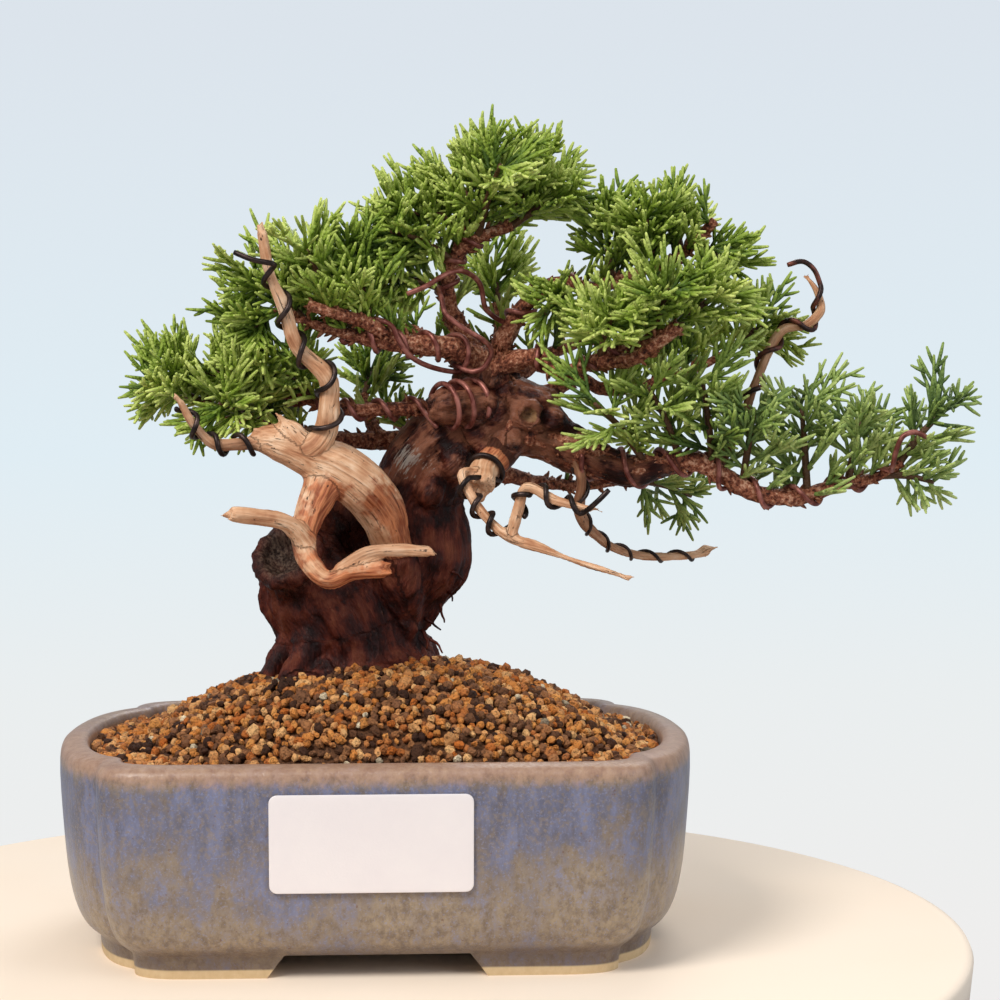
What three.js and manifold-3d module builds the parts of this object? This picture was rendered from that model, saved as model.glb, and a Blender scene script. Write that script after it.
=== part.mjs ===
// Itoigawa juniper bonsai in a glazed lobed pot, in millimetres, +Z up, front towards -Y.
// It is drawn round the pot's centre and then set over the middle of its own floor area.
import * as THREE from "three";
import { mergeVertices } from "three/addons/utils/BufferGeometryUtils.js";
import Module from "manifold-3d";

const wasm = await Module();
wasm.setup();

// Driving dimensions
const gap = 0.3;
const pot = {
  halfWidth: 83.2,
  halfDepth: 59,
  height: 54,
  footHeight: 6,
  floorTop: 13,
  notch: [69, 46],
  straightX: 53,
  lobeControl: [71.5, 82],
  curveSegments: 4,
  outside: [
    [0, 10],
    [5.2, 9.4],
    [6.2, 8.6],
    [9, 5.6],
    [13, 3.6],
    [20, 2],
    [32, 0.8],
    [50, 0],
    [53, 0.6],
    [54, 2],
  ],
  inside: [
    [13, 17],
    [16, 12.5],
    [26, 9.5],
    [50, 7.8],
    [54.2, 6.6],
  ],
  footInset: [24, 21],
};
const footGap = { frontBottom: 27.5, frontTop: 23, sideBottom: 15, sideTop: 11 };
const drain = { radius: 7, x: 38, segments: 12 };
const screen = { side: 22, thickness: 1.2, hole: 3.4, pitch: 5.6, perSide: 3 };
const label = { width: 50, height: 24.5, corner: 2, thickness: 0.5, x: -1.4, z: 35.6, lean: 0.055 };
const mound = { edge: 52, rise: 21, radiusX: 66, radiusY: 52, centreX: 2, centreY: -3, power: 2.4 };
const grain = { pitch: 10, relief: 3, scatter: 1.2 };
const wire = { radius: 0.75, sides: 4, stepsPerTurn: 5 };
const shoot = { radius: 0.72, taperFrom: 0.72, clearance: 0.35, tries: 10 };
const seed = 20260;

// Seeded random numbers, so that every build is the same
function randomFrom(start) {
  let state = start;
  return () => {
    state = (state + 0x6d2b79f5) | 0;
    let mixed = Math.imul(state ^ (state >>> 15), 1 | state);
    mixed = (mixed + Math.imul(mixed ^ (mixed >>> 7), 61 | mixed)) ^ mixed;
    return ((mixed ^ (mixed >>> 14)) >>> 0) / 4294967296;
  };
}
const random = randomFrom(seed);

// The wood: each limb runs from its root outwards through points [x, y, z, radius]
const limbs = {
  stump: {
    sides: 10,
    pitch: 7,
    flute: 0.06,
    points: [
      [-7, 3, 56, 21],
      [-7, 3, 66, 23],
      [-8, 3, 73, 18.5],
      [-9, 2, 79, 16],
      [-11, 1, 85, 16],
      [-15, 0, 93, 16.5],
      [-17, -3, 100, 14.5],
      [-18, -7, 105, 11],
    ],
  },
  rearTrunk: {
    sides: 10,
    pitch: 7,
    flute: 0.05,
    points: [
      [2, 8, 60, 16],
      [3, 8, 72, 13.5],
      [1, 8, 80, 9.5],
      [5, 8, 87, 10.5],
      [8, 8, 93, 11.5],
      [11, 8, 100, 14.2],
      [11, 8, 108, 13.5],
      [11, 7, 116, 11.8],
      [14, 5, 124, 11.5],
      [21, 3, 131, 12],
      [28, 2, 138, 11.5],
      [30, 0, 147, 8.5],
      [31, -1, 154, 5.5],
    ],
  },
  innerWall: {
    sides: 7,
    pitch: 8,
    points: [
      [-4, 2, 86, 10],
      [-5, 2, 98, 9.5],
      [-8, 2, 107, 8],
      [-8, 1, 113, 7],
      [-2, 0, 120, 5],
    ],
  },
  backWeb: {
    sides: 8,
    pitch: 7,
    points: [
      [-10, 8, 86, 9],
      [-6, 8, 98, 9.5],
      [2, 9, 110, 9],
      [10, 8, 118, 6],
    ],
  },
  crown: {
    sides: 8,
    pitch: 6,
    flute: 0.07,
    points: [
      [23, 2, 133, 11],
      [34, 0, 138, 11.2],
      [43, -3, 138, 8.5],
      [47, -4, 137, 5],
    ],
  },
  rootLeft: {
    sides: 6,
    pitch: 12,
    points: [
      [-14, 0, 72, 8],
      [-25, -3, 66, 5],
      [-34, -5, 62, 2.6],
    ],
  },
  rootFrontLeft: {
    sides: 6,
    pitch: 12,
    points: [
      [-12, -6, 72, 8],
      [-17, -16, 66, 5],
      [-20, -23, 62, 2.6],
    ],
  },
  rootFrontRight: {
    sides: 6,
    pitch: 12,
    points: [
      [2, -3, 72, 7],
      [8, -12, 66, 4.4],
      [12, -19, 62, 2.6],
    ],
  },
  rootRight: {
    sides: 6,
    pitch: 12,
    points: [
      [8, 3, 72, 7],
      [17, 0, 66, 4.6],
      [24, -3, 62, 2.6],
    ],
  },
  rootBack: {
    sides: 6,
    pitch: 12,
    points: [
      [0, 12, 72, 8],
      [3, 23, 66, 5],
      [5, 31, 62, 2.6],
    ],
  },
  deadLimb: {
    sides: 8,
    pitch: 7,
    points: [
      [9, 4, 92, 3],
      [7, -3, 97, 3.4],
      [4, -11, 106, 5.2],
      [1, -15, 114, 6.4],
      [-4, -20, 121, 6.9],
      [-11, -22, 126, 6.6],
      [-18, -23, 129, 5.3],
      [-25, -24, 132, 4.6],
      [-30, -24, 133, 3.2],
    ],
  },
  knuckle: {
    sides: 7,
    pitch: 4,
    points: [
      [-18, -24, 130, 4],
      [-22, -25, 135, 3.4],
      [-24, -25, 137, 2],
    ],
  },
  strut: {
    sides: 6,
    pitch: 6,
    points: [
      [-13, -22, 124, 4.2],
      [-17, -27, 114, 3.4],
      [-18.5, -30, 107, 3.2],
      [-16, -33, 101, 2.7],
      [-12, -35, 98, 2.3],
      [-6, -37, 100, 2],
      [2, -40, 101, 2.1],
    ],
  },
  stubLeft: {
    sides: 6,
    pitch: 6,
    points: [
      [-16, -30, 107, 2.6],
      [-22, -34, 112, 2.1],
      [-29, -38, 114, 2],
      [-36, -41, 115, 1.9],
    ],
  },
  stubRight: {
    sides: 5,
    pitch: 6,
    points: [
      [-10, -35, 100, 1.8],
      [-1, -39, 105, 1.8],
      [6, -42, 106, 1.5],
      [13, -46, 106, 1.2],
    ],
  },
  tallJin: {
    sides: 6,
    pitch: 6,
    points: [
      [-20, -24, 130, 3.2],
      [-16, -26, 131, 3.3],
      [-13, -26, 135, 3],
      [-12, -27, 142, 2.6],
      [-12, -28, 148, 2.4],
      [-20, -30, 157, 2],
      [-23, -32, 166, 1.7],
      [-26, -34, 174, 1.5],
      [-28, -36, 185, 1.4],
    ],
  },
  leftJin: {
    sides: 5,
    pitch: 6,
    points: [
      [-25, -24, 132, 3.2],
      [-33, -26, 132, 1.7],
      [-41, -28, 132, 1.5],
      [-46, -30, 137, 1.3],
      [-49, -32, 143, 1],
    ],
  },
  frontJin: {
    sides: 7,
    pitch: 5,
    points: [
      [34, -4, 131, 5.5],
      [31, -11, 127, 4.2],
      [28, -16, 124, 3.8],
      [27, -21, 121, 3.8],
    ],
  },
  frontTwig: {
    sides: 5,
    pitch: 6,
    points: [
      [27, -19, 124, 1.7],
      [22, -24, 124, 1.4],
      [25, -27, 117, 1.4],
      [29, -29, 112, 1.3],
      [34, -31, 108, 1.8],
      [41, -33, 106, 1.2],
      [49, -35, 103, 1],
      [62, -40, 99, 0.7],
    ],
  },
  frontFork: {
    sides: 5,
    pitch: 6,
    points: [
      [34, -31, 108, 1.6],
      [36, -32, 115, 1.3],
      [38, -34, 121, 1.3],
      [45, -36, 118, 1.2],
      [54, -40, 116, 1],
    ],
  },
  hangingJin: {
    sides: 5,
    pitch: 6,
    points: [
      [48, -3, 134, 2.2],
      [52, -8, 128, 1.6],
      [54, -9, 122, 1.5],
      [54, -4, 113, 1.6],
      [61, 7, 104, 1.4],
      [72, 20, 99, 1.3],
      [83, 28, 98, 1.2],
      [91, 34, 99, 0.9],
    ],
  },
  rightJin: {
    sides: 5,
    pitch: 6,
    points: [
      [89, -11, 124, 2],
      [96, -8, 137, 1.7],
      [100, -6, 146, 1.6],
      [105, -4, 157, 1.6],
      [108, -4, 161, 1.5],
      [114, -3, 162, 1.4],
      [118, -2, 166, 1.5],
      [117, -2, 171, 1.2],
      [115, -2, 174, 0.9],
    ],
  },
  leftMiddle: {
    sides: 5,
    pitch: 9,
    points: [
      [25, 0, 137, 3.4],
      [14, -2, 140, 2.2],
      [4, -4, 140, 1.8],
      [-8, -4, 140, 1.7],
      [-20, -1, 143, 1.4],
      [-32, 2, 145, 1.2],
    ],
  },
  leftLow: {
    sides: 5,
    pitch: 9,
    points: [
      [18, 8, 130, 4],
      [7, 14, 131, 2.7],
      [-4, 12, 131, 2.3],
      [-14, 6, 132, 2],
      [-26, 2, 135, 1.8],
      [-36, -1, 138, 1.6],
      [-46, -4, 142, 1.2],
    ],
  },
  upperLeft: {
    sides: 6,
    pitch: 9,
    points: [
      [30, -2, 151, 4.2],
      [20, -10, 156, 3],
      [10, -14, 157, 2.6],
      [1, -17, 158, 2.1],
      [-8, -18, 160, 1.6],
      [-18, -17, 163, 1.3],
      [-26, -16, 166, 1],
    ],
  },
  dryStub: {
    sides: 5,
    pitch: 9,
    points: [
      [7, -15, 157, 2],
      [-3, -21, 163, 1.8],
      [-10, -24, 165, 1.6],
      [-17, -26, 167, 1.3],
    ],
  },
  apex: {
    sides: 6,
    pitch: 9,
    points: [
      [28, -1, 151, 4],
      [22, -2, 161, 2.7],
      [19, -3, 169, 2.1],
      [20, -4, 178, 1.8],
      [27, -4, 185, 1.6],
      [36, -4, 188, 1.3],
    ],
  },
  leader: {
    sides: 5,
    pitch: 11,
    points: [
      [21, -4, 180, 1.5],
      [23, -3, 188, 1.3],
      [23, -2, 198, 1],
    ],
  },
  upperRight: {
    sides: 5,
    pitch: 9,
    points: [
      [31, 0, 151, 3.6],
      [36, 0, 162, 2.4],
      [41, -2, 169, 2],
      [47, -4, 173, 1.8],
      [58, -7, 172, 1.6],
      [69, -10, 176, 1.5],
      [79, -12, 180, 1.4],
      [88, -15, 189, 1.4],
    ],
  },
  rightMiddle: {
    sides: 5,
    pitch: 9,
    points: [
      [31, -4, 150, 3.2],
      [42, -10, 154, 2.1],
      [48, -14, 150, 1.8],
      [55, -16, 152, 1.7],
      [61, -18, 155, 1.6],
      [70, -20, 158, 1.5],
      [77, -23, 162, 1.4],
    ],
  },
  rightRear: {
    sides: 5,
    pitch: 9,
    points: [
      [39, 2, 140, 3],
      [48, 5, 145, 2.1],
      [54, 7, 148, 1.9],
      [61, 8, 145, 1.7],
      [73, 8, 146, 1.6],
      [85, 8, 150, 1.3],
      [95, 8, 155, 1],
    ],
  },
  rightMain: {
    sides: 7,
    pitch: 9,
    points: [
      [35, -2, 137, 9],
      [46, -4, 133, 6.4],
      [57, -6, 127, 5],
      [67, -8, 124, 4],
      [77, -10, 126, 3],
      [85, -12, 126, 2.6],
      [92, -12, 122, 2.4],
      [100, -12, 118, 2.3],
      [111, -12, 117, 2.2],
      [121, -12, 120, 1.8],
      [131, -12, 122, 1.4],
      [138, -14, 126, 1.1],
    ],
  },
  backLow: {
    sides: 5,
    pitch: 11,
    points: [
      [23, 4, 127, 3.4],
      [32, 8, 123, 2.6],
      [42, 15, 120, 1.8],
      [56, 25, 118, 1.5],
      [72, 34, 119, 1.1],
    ],
  },
  backLeft: {
    sides: 5,
    pitch: 11,
    points: [
      [2, 12, 130, 2],
      [-2, 20, 137, 1.5],
      [-3, 28, 143, 1.1],
    ],
  },
  backCentre: {
    sides: 5,
    pitch: 11,
    points: [
      [30, 5, 148, 3],
      [34, 20, 159, 2],
      [34, 32, 168, 1.3],
    ],
  },
  backRight: {
    sides: 5,
    pitch: 11,
    points: [
      [34, 5, 146, 2.8],
      [47, 20, 154, 1.8],
      [63, 33, 160, 1.3],
    ],
  },
  backUpperLeft: {
    sides: 5,
    pitch: 11,
    points: [
      [27, 5, 148, 2.8],
      [17, 20, 157, 1.8],
      [6, 33, 163, 1.3],
    ],
  },
  backBottomLeft: {
    sides: 5,
    pitch: 11,
    points: [
      [15, 11, 129, 2.6],
      [10, 26, 133, 1.8],
      [3, 40, 137, 1.3],
    ],
  },
};
const curves = {};
for (const [name, { points }] of Object.entries(limbs)) {
  curves[name] = new THREE.CatmullRomCurve3(points.map(([x, y, z]) => new THREE.Vector3(x, y, z)));
}

// The hollows of the old wood: the scar on the stump, the cleft, and the dark pocket behind the dead limb
const scar = { centre: [-23, -15, 102], facing: [-0.35, -0.72, 0.6], radius: 7.6, lip: 2.2, segments: 12 };
const hollows = {
  pocket: [
    [-8, -20, 108, 7],
    [-4, -6, 105, 5],
    [-3, -1, 103, 3],
  ],
  cleft: [
    [-5, -18, 106, 4],
    [2, -13, 97, 3.4],
    [7, -9, 89, 2.6],
    [12, -5, 80, 2],
  ],
};

// Training wires: windings on one or two limbs, then the free end
const darkWire = [0.13, 0.1, 0.09];
const copperWire = [0.42, 0.2, 0.16];
const wires = {
  wire_tall_jin: {
    colour: darkWire,
    windings: [{ limb: "tallJin", from: 0.1, to: 0.86, turns: 4.5, phase: 2.2 }],
    tail: [
      [-25, -39, 177],
      [-30, -39, 178],
      [-35, -38, 180],
    ],
  },
  wire_left_jin: {
    colour: darkWire,
    windings: [{ limb: "leftJin", from: 0.2, to: 0.96, turns: 3, phase: 0 }],
    tail: [],
  },
  wire_front_jin: {
    colour: darkWire,
    windings: [
      { limb: "frontJin", from: 0.62, to: 0.74, turns: 1.2, phase: 1.5 },
      { limb: "frontTwig", from: 0.16, to: 0.46, turns: 3, phase: 2 },
    ],
    tail: [],
  },
  wire_front_fork: {
    colour: darkWire,
    windings: [{ limb: "frontFork", from: 0.2, to: 0.92, turns: 3, phase: 1 }],
    tail: [
      [55, -43, 118],
      [58, -43, 121],
    ],
  },
  wire_hanging_jin: {
    colour: copperWire,
    windings: [{ limb: "hangingJin", from: 0.14, to: 0.97, turns: 6, phase: 0 }],
    tail: [],
  },
  wire_right_jin: {
    colour: darkWire,
    windings: [{ limb: "rightJin", from: 0.22, to: 0.96, turns: 4, phase: 1 }],
    tail: [
      [116, -3, 177],
      [113, -3, 179],
      [109, -3, 178],
    ],
  },
  wire_upper_left: {
    colour: copperWire,
    windings: [{ limb: "upperLeft", from: 0.16, to: 0.7, turns: 4, phase: 0.5 }],
    tail: [],
  },
  wire_left_middle: {
    colour: copperWire,
    windings: [{ limb: "leftMiddle", from: 0.24, to: 0.84, turns: 4, phase: 0 }],
    tail: [],
  },
  wire_apex: {
    colour: copperWire,
    windings: [{ limb: "apex", from: 0.22, to: 0.8, turns: 4, phase: 0 }],
    tail: [],
  },
  wire_upper_right: {
    colour: copperWire,
    windings: [{ limb: "upperRight", from: 0.16, to: 0.64, turns: 4, phase: 3 }],
    tail: [],
  },
  wire_right_middle: {
    colour: copperWire,
    windings: [{ limb: "rightMiddle", from: 0.22, to: 0.76, turns: 4, phase: 2 }],
    tail: [],
  },
  wire_right_main: {
    colour: copperWire,
    windings: [{ limb: "rightMain", from: 0.2, to: 0.97, turns: 7, phase: 0 }],
    tail: [
      [137, -16, 131],
      [140, -16, 134],
      [144, -15, 133],
    ],
  },
};

// Foliage: each spray leaves its limb at a share of its length and ends at tip; reach is its longest shoot
const sprays = {
  far_left_tip: { limb: "leftLow", at: 0.99, tip: [-57, -6, 146], reach: 14 },
  far_left_top: { limb: "leftMiddle", at: 0.97, tip: [-53, -2, 155], reach: 15 },
  far_left_front: { limb: "leftMiddle", at: 0.66, tip: [-34, -14, 156], reach: 16 },
  far_left_low: { limb: "leftLow", at: 0.76, tip: [-40, -18, 142], reach: 15 },
  far_left_back: { limb: "leftMiddle", at: 0.72, tip: [-34, 18, 155], reach: 16 },
  far_left_under: { limb: "leftLow", at: 0.68, tip: [-32, 22, 141], reach: 14 },
  left_tip: { limb: "upperLeft", at: 0.99, tip: [-40, -18, 170], reach: 14 },
  left_fan: { limb: "upperLeft", at: 0.86, tip: [-32, -15, 180], reach: 15 },
  left_crest: { limb: "upperLeft", at: 0.72, tip: [-19, -22, 187], reach: 16 },
  left_inner: { limb: "upperLeft", at: 0.56, tip: [-8, -16, 184], reach: 17 },
  left_back: { limb: "upperLeft", at: 0.66, tip: [-14, 8, 178], reach: 15 },
  crown_left: { limb: "leader", at: 0.5, tip: [5, -8, 200], reach: 14 },
  crown_left_top: { limb: "leader", at: 0.99, tip: [15, 0, 206], reach: 13 },
  crown_left_front: { limb: "apex", at: 0.62, tip: [4, -18, 186], reach: 15 },
  crown_left_low: { limb: "apex", at: 0.46, tip: [2, -8, 174], reach: 13 },
  crown_middle: { limb: "leader", at: 0.8, tip: [29, -6, 210], reach: 13 },
  crown_front: { limb: "apex", at: 0.8, tip: [32, -20, 203], reach: 15 },
  crown_right_top: { limb: "apex", at: 0.92, tip: [44, -4, 205], reach: 14 },
  crown_right: { limb: "apex", at: 0.99, tip: [51, -8, 196], reach: 14 },
  crown_back: { limb: "apex", at: 0.7, tip: [32, 18, 200], reach: 15 },
  right_top_inner: { limb: "upperRight", at: 0.58, tip: [60, -8, 190], reach: 14 },
  right_top_middle: { limb: "upperRight", at: 0.74, tip: [70, -16, 190], reach: 14 },
  right_top_tip: { limb: "upperRight", at: 0.9, tip: [95, -10, 184], reach: 13 },
  right_top_crest: { limb: "upperRight", at: 0.84, tip: [80, -4, 194], reach: 12 },
  sprig_inner: { limb: "upperRight", at: 0.42, tip: [44, -16, 165], reach: 10 },
  right_middle_inner: { limb: "rightMiddle", at: 0.6, tip: [60, -28, 164], reach: 15 },
  right_middle_front: { limb: "rightMiddle", at: 0.86, tip: [74, -32, 171], reach: 14 },
  right_middle_tip: { limb: "rightMiddle", at: 0.99, tip: [89, -25, 170], reach: 14 },
  right_rear_tip: { limb: "rightRear", at: 0.99, tip: [106, 6, 163], reach: 13 },
  right_rear_back: { limb: "rightRear", at: 0.7, tip: [84, 24, 160], reach: 14 },
  right_low_inner: { limb: "rightMain", at: 0.36, tip: [56, -24, 142], reach: 14 },
  right_low_front: { limb: "rightMain", at: 0.44, tip: [70, -24, 146], reach: 14 },
  right_low_middle: { limb: "rightMain", at: 0.52, tip: [84, -22, 148], reach: 14 },
  right_low_outer: { limb: "rightMain", at: 0.6, tip: [98, -20, 140], reach: 13 },
  right_far: { limb: "rightMain", at: 0.76, tip: [111, -15, 141], reach: 13 },
  right_far_outer: { limb: "rightMain", at: 0.86, tip: [127, -14, 137], reach: 13 },
  right_tip_up: { limb: "rightMain", at: 0.985, tip: [148, -12, 143], reach: 12 },
  right_tip_low: { limb: "rightMain", at: 0.94, tip: [146, -16, 121], reach: 10 },
  back_left: { limb: "backLeft", at: 0.98, tip: [-1, 38, 150], reach: 12 },
  back_centre: { limb: "backCentre", at: 0.98, tip: [33, 40, 178], reach: 14 },
  back_low: { limb: "backLow", at: 0.98, tip: [89, 38, 114], reach: 12 },
  back_right: { limb: "backRight", at: 0.98, tip: [75, 42, 168], reach: 15 },
};
const shootsPerSpray = 12;
const greens = [0x6f9a35, 0x5d8c33, 0x4b7a30, 0x7aa63c];

const colours = {
  pot: 0x6d7390,
  soil: 0x9a6a3c,
  label: 0xf4eff0,
  screen: 0x2b2b2b,
  wood: 0x6b4531,
};

// Joining and cutting
function solidOf(geometry) {
  const bare = geometry.clone();
  bare.deleteAttribute("normal");
  bare.deleteAttribute("uv");
  const merged = mergeVertices(bare);
  return new wasm.Manifold(
    new wasm.Mesh({
      numProp: 3,
      vertProperties: new Float32Array(merged.attributes.position.array),
      triVerts: new Uint32Array(merged.index.array),
    })
  );
}

function union(solids) {
  return solids.reduce((joined, next) => joined.add(next));
}

function largestBody(solid) {
  const bodies = solid.decompose();
  return bodies.reduce((best, next) => (next.volume() > best.volume() ? next : best));
}

function meshOf(name, solid, colour, roughness, metalness = 0) {
  const { vertProperties, triVerts } = solid.getMesh();
  const geometry = new THREE.BufferGeometry();
  geometry.setAttribute("position", new THREE.BufferAttribute(vertProperties, 3));
  geometry.setIndex(new THREE.BufferAttribute(triVerts, 1));
  geometry.computeVertexNormals();
  const material = new THREE.MeshStandardMaterial({ color: colour, roughness, metalness });
  const mesh = new THREE.Mesh(geometry, material);
  mesh.name = name;
  return mesh;
}

// A lobed outline at several heights: levels are [z, inset] from the bottom up
function lobedOutline() {
  const { halfWidth: w, halfDepth: d, straightX: sx } = pot;
  const [nx, ny] = pot.notch;
  const [cornerX, endX] = pot.lobeControl;
  const endY = 0.84 * ny;
  const shape = new THREE.Shape();
  shape.moveTo(-sx, -d);
  shape.lineTo(sx, -d);
  shape.quadraticCurveTo(cornerX, -d, nx, -ny);
  shape.quadraticCurveTo(endX, -endY, w, 0);
  shape.quadraticCurveTo(endX, endY, nx, ny);
  shape.quadraticCurveTo(cornerX, d, sx, d);
  shape.lineTo(-sx, d);
  shape.quadraticCurveTo(-cornerX, d, -nx, ny);
  shape.quadraticCurveTo(-endX, endY, -w, 0);
  shape.quadraticCurveTo(-endX, -endY, -nx, -ny);
  shape.quadraticCurveTo(-cornerX, -d, -sx, -d);
  return shape;
}

function lobedSolid(levels) {
  const geometry = new THREE.ExtrudeGeometry(lobedOutline(), {
    depth: 1,
    steps: levels.length - 1,
    bevelEnabled: false,
    curveSegments: pot.curveSegments,
  });
  const position = geometry.attributes.position;
  for (let i = 0; i < position.count; i++) {
    const [z, inset] = levels[Math.round(position.getZ(i) * (levels.length - 1))];
    const x = (position.getX(i) * (pot.halfWidth - inset)) / pot.halfWidth;
    const y = (position.getY(i) * (pot.halfDepth - inset)) / pot.halfDepth;
    position.setXYZ(i, x, y, z);
  }
  return solidOf(geometry);
}

// A channel under the pot, wider at the bottom, that runs right through along Y
function footChannel(bottomHalf, topHalf, halfLength) {
  const below = -1;
  const shape = new THREE.Shape();
  shape.moveTo(-bottomHalf, below);
  shape.lineTo(bottomHalf, below);
  shape.lineTo(topHalf, pot.footHeight);
  shape.lineTo(-topHalf, pot.footHeight);
  shape.closePath();
  const geometry = new THREE.ExtrudeGeometry(shape, { depth: 2 * halfLength, bevelEnabled: false });
  geometry.translate(0, 0, -halfLength);
  geometry.rotateX(Math.PI / 2);
  return geometry;
}

function potSolid() {
  const cavity = [...pot.inside, [pot.height + 6, pot.inside.at(-1)[1]]];
  const underside = [
    [-1, pot.footInset[0]],
    [pot.footHeight, pot.footInset[1]],
  ];
  const frontChannel = footChannel(footGap.frontBottom, footGap.frontTop, pot.halfDepth + 5);
  const sideChannel = footChannel(footGap.sideBottom, footGap.sideTop, pot.halfWidth + 5).rotateZ(Math.PI / 2);
  let solid = lobedSolid(pot.outside).subtract(lobedSolid(cavity)).subtract(lobedSolid(underside));
  solid = solid.subtract(solidOf(frontChannel)).subtract(solidOf(sideChannel));
  for (const x of [-drain.x, drain.x]) {
    const hole = new THREE.CylinderGeometry(drain.radius, drain.radius, 3 * pot.floorTop, drain.segments);
    hole.rotateX(Math.PI / 2).translate(x, 0, 0);
    solid = solid.subtract(solidOf(hole));
  }
  return solid;
}

function screenBlock(grow) {
  const side = screen.side + 2 * grow;
  const block = new THREE.BoxGeometry(side, side, screen.thickness + 2 * grow);
  return block.translate(0, 0, pot.floorTop + gap + screen.thickness / 2);
}

function screenSolid(x) {
  let solid = solidOf(screenBlock(0).translate(x, 0, 0));
  const middle = (screen.perSide - 1) / 2;
  for (let row = 0; row < screen.perSide; row++) {
    for (let column = 0; column < screen.perSide; column++) {
      const hole = new THREE.BoxGeometry(screen.hole, screen.hole, 4 * pot.floorTop);
      hole.translate(x + (column - middle) * screen.pitch, (row - middle) * screen.pitch, 0);
      solid = solid.subtract(solidOf(hole));
    }
  }
  return solid;
}

// Soil: a block with a grained mound on top, cut to the pot's inside
function moundHeight(x, y) {
  const reach = Math.hypot((x - mound.centreX) / mound.radiusX, (y - mound.centreY) / mound.radiusY);
  return mound.edge + mound.rise * Math.max(0, 1 - reach ** mound.power);
}

function grainedBlock() {
  // Rows of a triangular grid, in which every third point is the top of a grain and the rest are crevices
  const columns = Math.ceil((2 * pot.halfWidth) / grain.pitch) * 2;
  const rows = Math.ceil((2 * pot.halfDepth) / grain.pitch) * 2;
  const spacing = grain.pitch / Math.sqrt(3);
  const rowHeight = (spacing * Math.sqrt(3)) / 2;
  const points = [];
  const faces = [];
  for (let row = 0; row <= rows; row++) {
    for (let column = 0; column <= columns; column++) {
      const x = (column - columns / 2 + (row % 2) / 2) * spacing + (random() - 0.5) * grain.scatter;
      const y = (row - rows / 2) * rowHeight + (random() - 0.5) * grain.scatter;
      const isTop = (column + (row % 2 === 0 ? 0 : 2)) % 3 === 0;
      const bump = isTop ? grain.relief * (0.5 + 0.5 * random()) : -0.4 * random();
      points.push(x, y, moundHeight(x, y) + bump - grain.relief / 2);
    }
  }
  const at = (row, column) => row * (columns + 1) + column;
  for (let row = 0; row < rows; row++) {
    for (let column = 0; column < columns; column++) {
      const [a, b] = [at(row, column), at(row, column + 1)];
      const [c, d] = [at(row + 1, column), at(row + 1, column + 1)];
      if (row % 2 === 0) faces.push(a, b, c, b, d, c);
      else faces.push(a, b, d, a, d, c);
    }
  }
  // The skirt runs down to one point far below the pot
  const depthBelow = -300;
  const bottom = points.length / 3;
  points.push(0, 0, depthBelow);
  for (let column = 0; column < columns; column++) {
    faces.push(at(0, column + 1), at(0, column), bottom);
    faces.push(at(rows, column), at(rows, column + 1), bottom);
  }
  for (let row = 0; row < rows; row++) {
    faces.push(at(row, 0), at(row + 1, 0), bottom);
    faces.push(at(row + 1, columns), at(row, columns), bottom);
  }
  const geometry = new THREE.BufferGeometry();
  geometry.setAttribute("position", new THREE.Float32BufferAttribute(points, 3));
  geometry.setIndex(faces);
  return solidOf(geometry);
}

function soilSolid(keepOut) {
  const inside = pot.inside.map(([z, inset]) => [z + gap, inset + gap]);
  inside.push([100, inside.at(-1)[1]]);
  let solid = lobedSolid(inside).intersect(grainedBlock());
  for (const x of [-drain.x, drain.x]) {
    solid = solid.subtract(solidOf(screenBlock(gap).translate(x, 0, 0)));
  }
  return largestBody(solid.subtract(keepOut));
}

function labelSolid() {
  const { width, height, corner, thickness } = label;
  const [w, h] = [width / 2, height / 2];
  const shape = new THREE.Shape();
  shape.moveTo(-w + corner, -h);
  shape.lineTo(w - corner, -h);
  shape.quadraticCurveTo(w, -h, w, -h + corner);
  shape.lineTo(w, h - corner);
  shape.quadraticCurveTo(w, h, w - corner, h);
  shape.lineTo(-w + corner, h);
  shape.quadraticCurveTo(-w, h, -w, h - corner);
  shape.lineTo(-w, -h + corner);
  shape.quadraticCurveTo(-w, -h, -w + corner, -h);
  const geometry = new THREE.ExtrudeGeometry(shape, { depth: thickness, bevelEnabled: false, curveSegments: 3 });
  // It stands on the front wall and leans back with it as the wall narrows downwards
  geometry.rotateX(Math.PI / 2 + label.lean);
  geometry.translate(label.x, -pot.halfDepth + 0.58 - gap, label.z);
  return solidOf(geometry);
}

// A limb: a cylinder bent along its curve, with the radius that its points give
function radiusAlong(points, t) {
  const place = t * (points.length - 1);
  const index = Math.min(Math.floor(place), points.length - 2);
  return THREE.MathUtils.lerp(points[index][3], points[index + 1][3], place - index);
}

function limbGeometry({ points, sides, pitch, steps, flute = 0 }, grow = 0, curve = null) {
  const path = curve ?? new THREE.CatmullRomCurve3(points.map(([x, y, z]) => new THREE.Vector3(x, y, z)));
  const rings = steps ?? Math.max(2, Math.round(path.getLength() / pitch));
  const { tangents, normals, binormals } = path.computeFrenetFrames(rings);
  const geometry = new THREE.CylinderGeometry(1, 1, 1, sides, rings);
  const position = geometry.attributes.position;
  const vertex = new THREE.Vector3();
  for (let i = 0; i < position.count; i++) {
    const ring = Math.round((0.5 - position.getY(i)) * rings);
    const t = path.getUtoTmapping(ring / rings);
    const angle = Math.atan2(position.getZ(i), position.getX(i));
    const ridge = 1 + flute * Math.sin(3 * angle + 0.9 * ring) + flute * Math.sin(5 * angle - 0.6 * ring);
    const radius = radiusAlong(points, t) * ridge + grow;
    const past = ring === 0 ? -grow : ring === rings ? grow : 0;
    vertex.copy(path.getPoint(t)).addScaledVector(tangents[ring], past);
    vertex.addScaledVector(normals[ring], position.getX(i) * radius);
    vertex.addScaledVector(binormals[ring], position.getZ(i) * radius);
    position.setXYZ(i, vertex.x, vertex.y, vertex.z);
  }
  return geometry;
}

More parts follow.
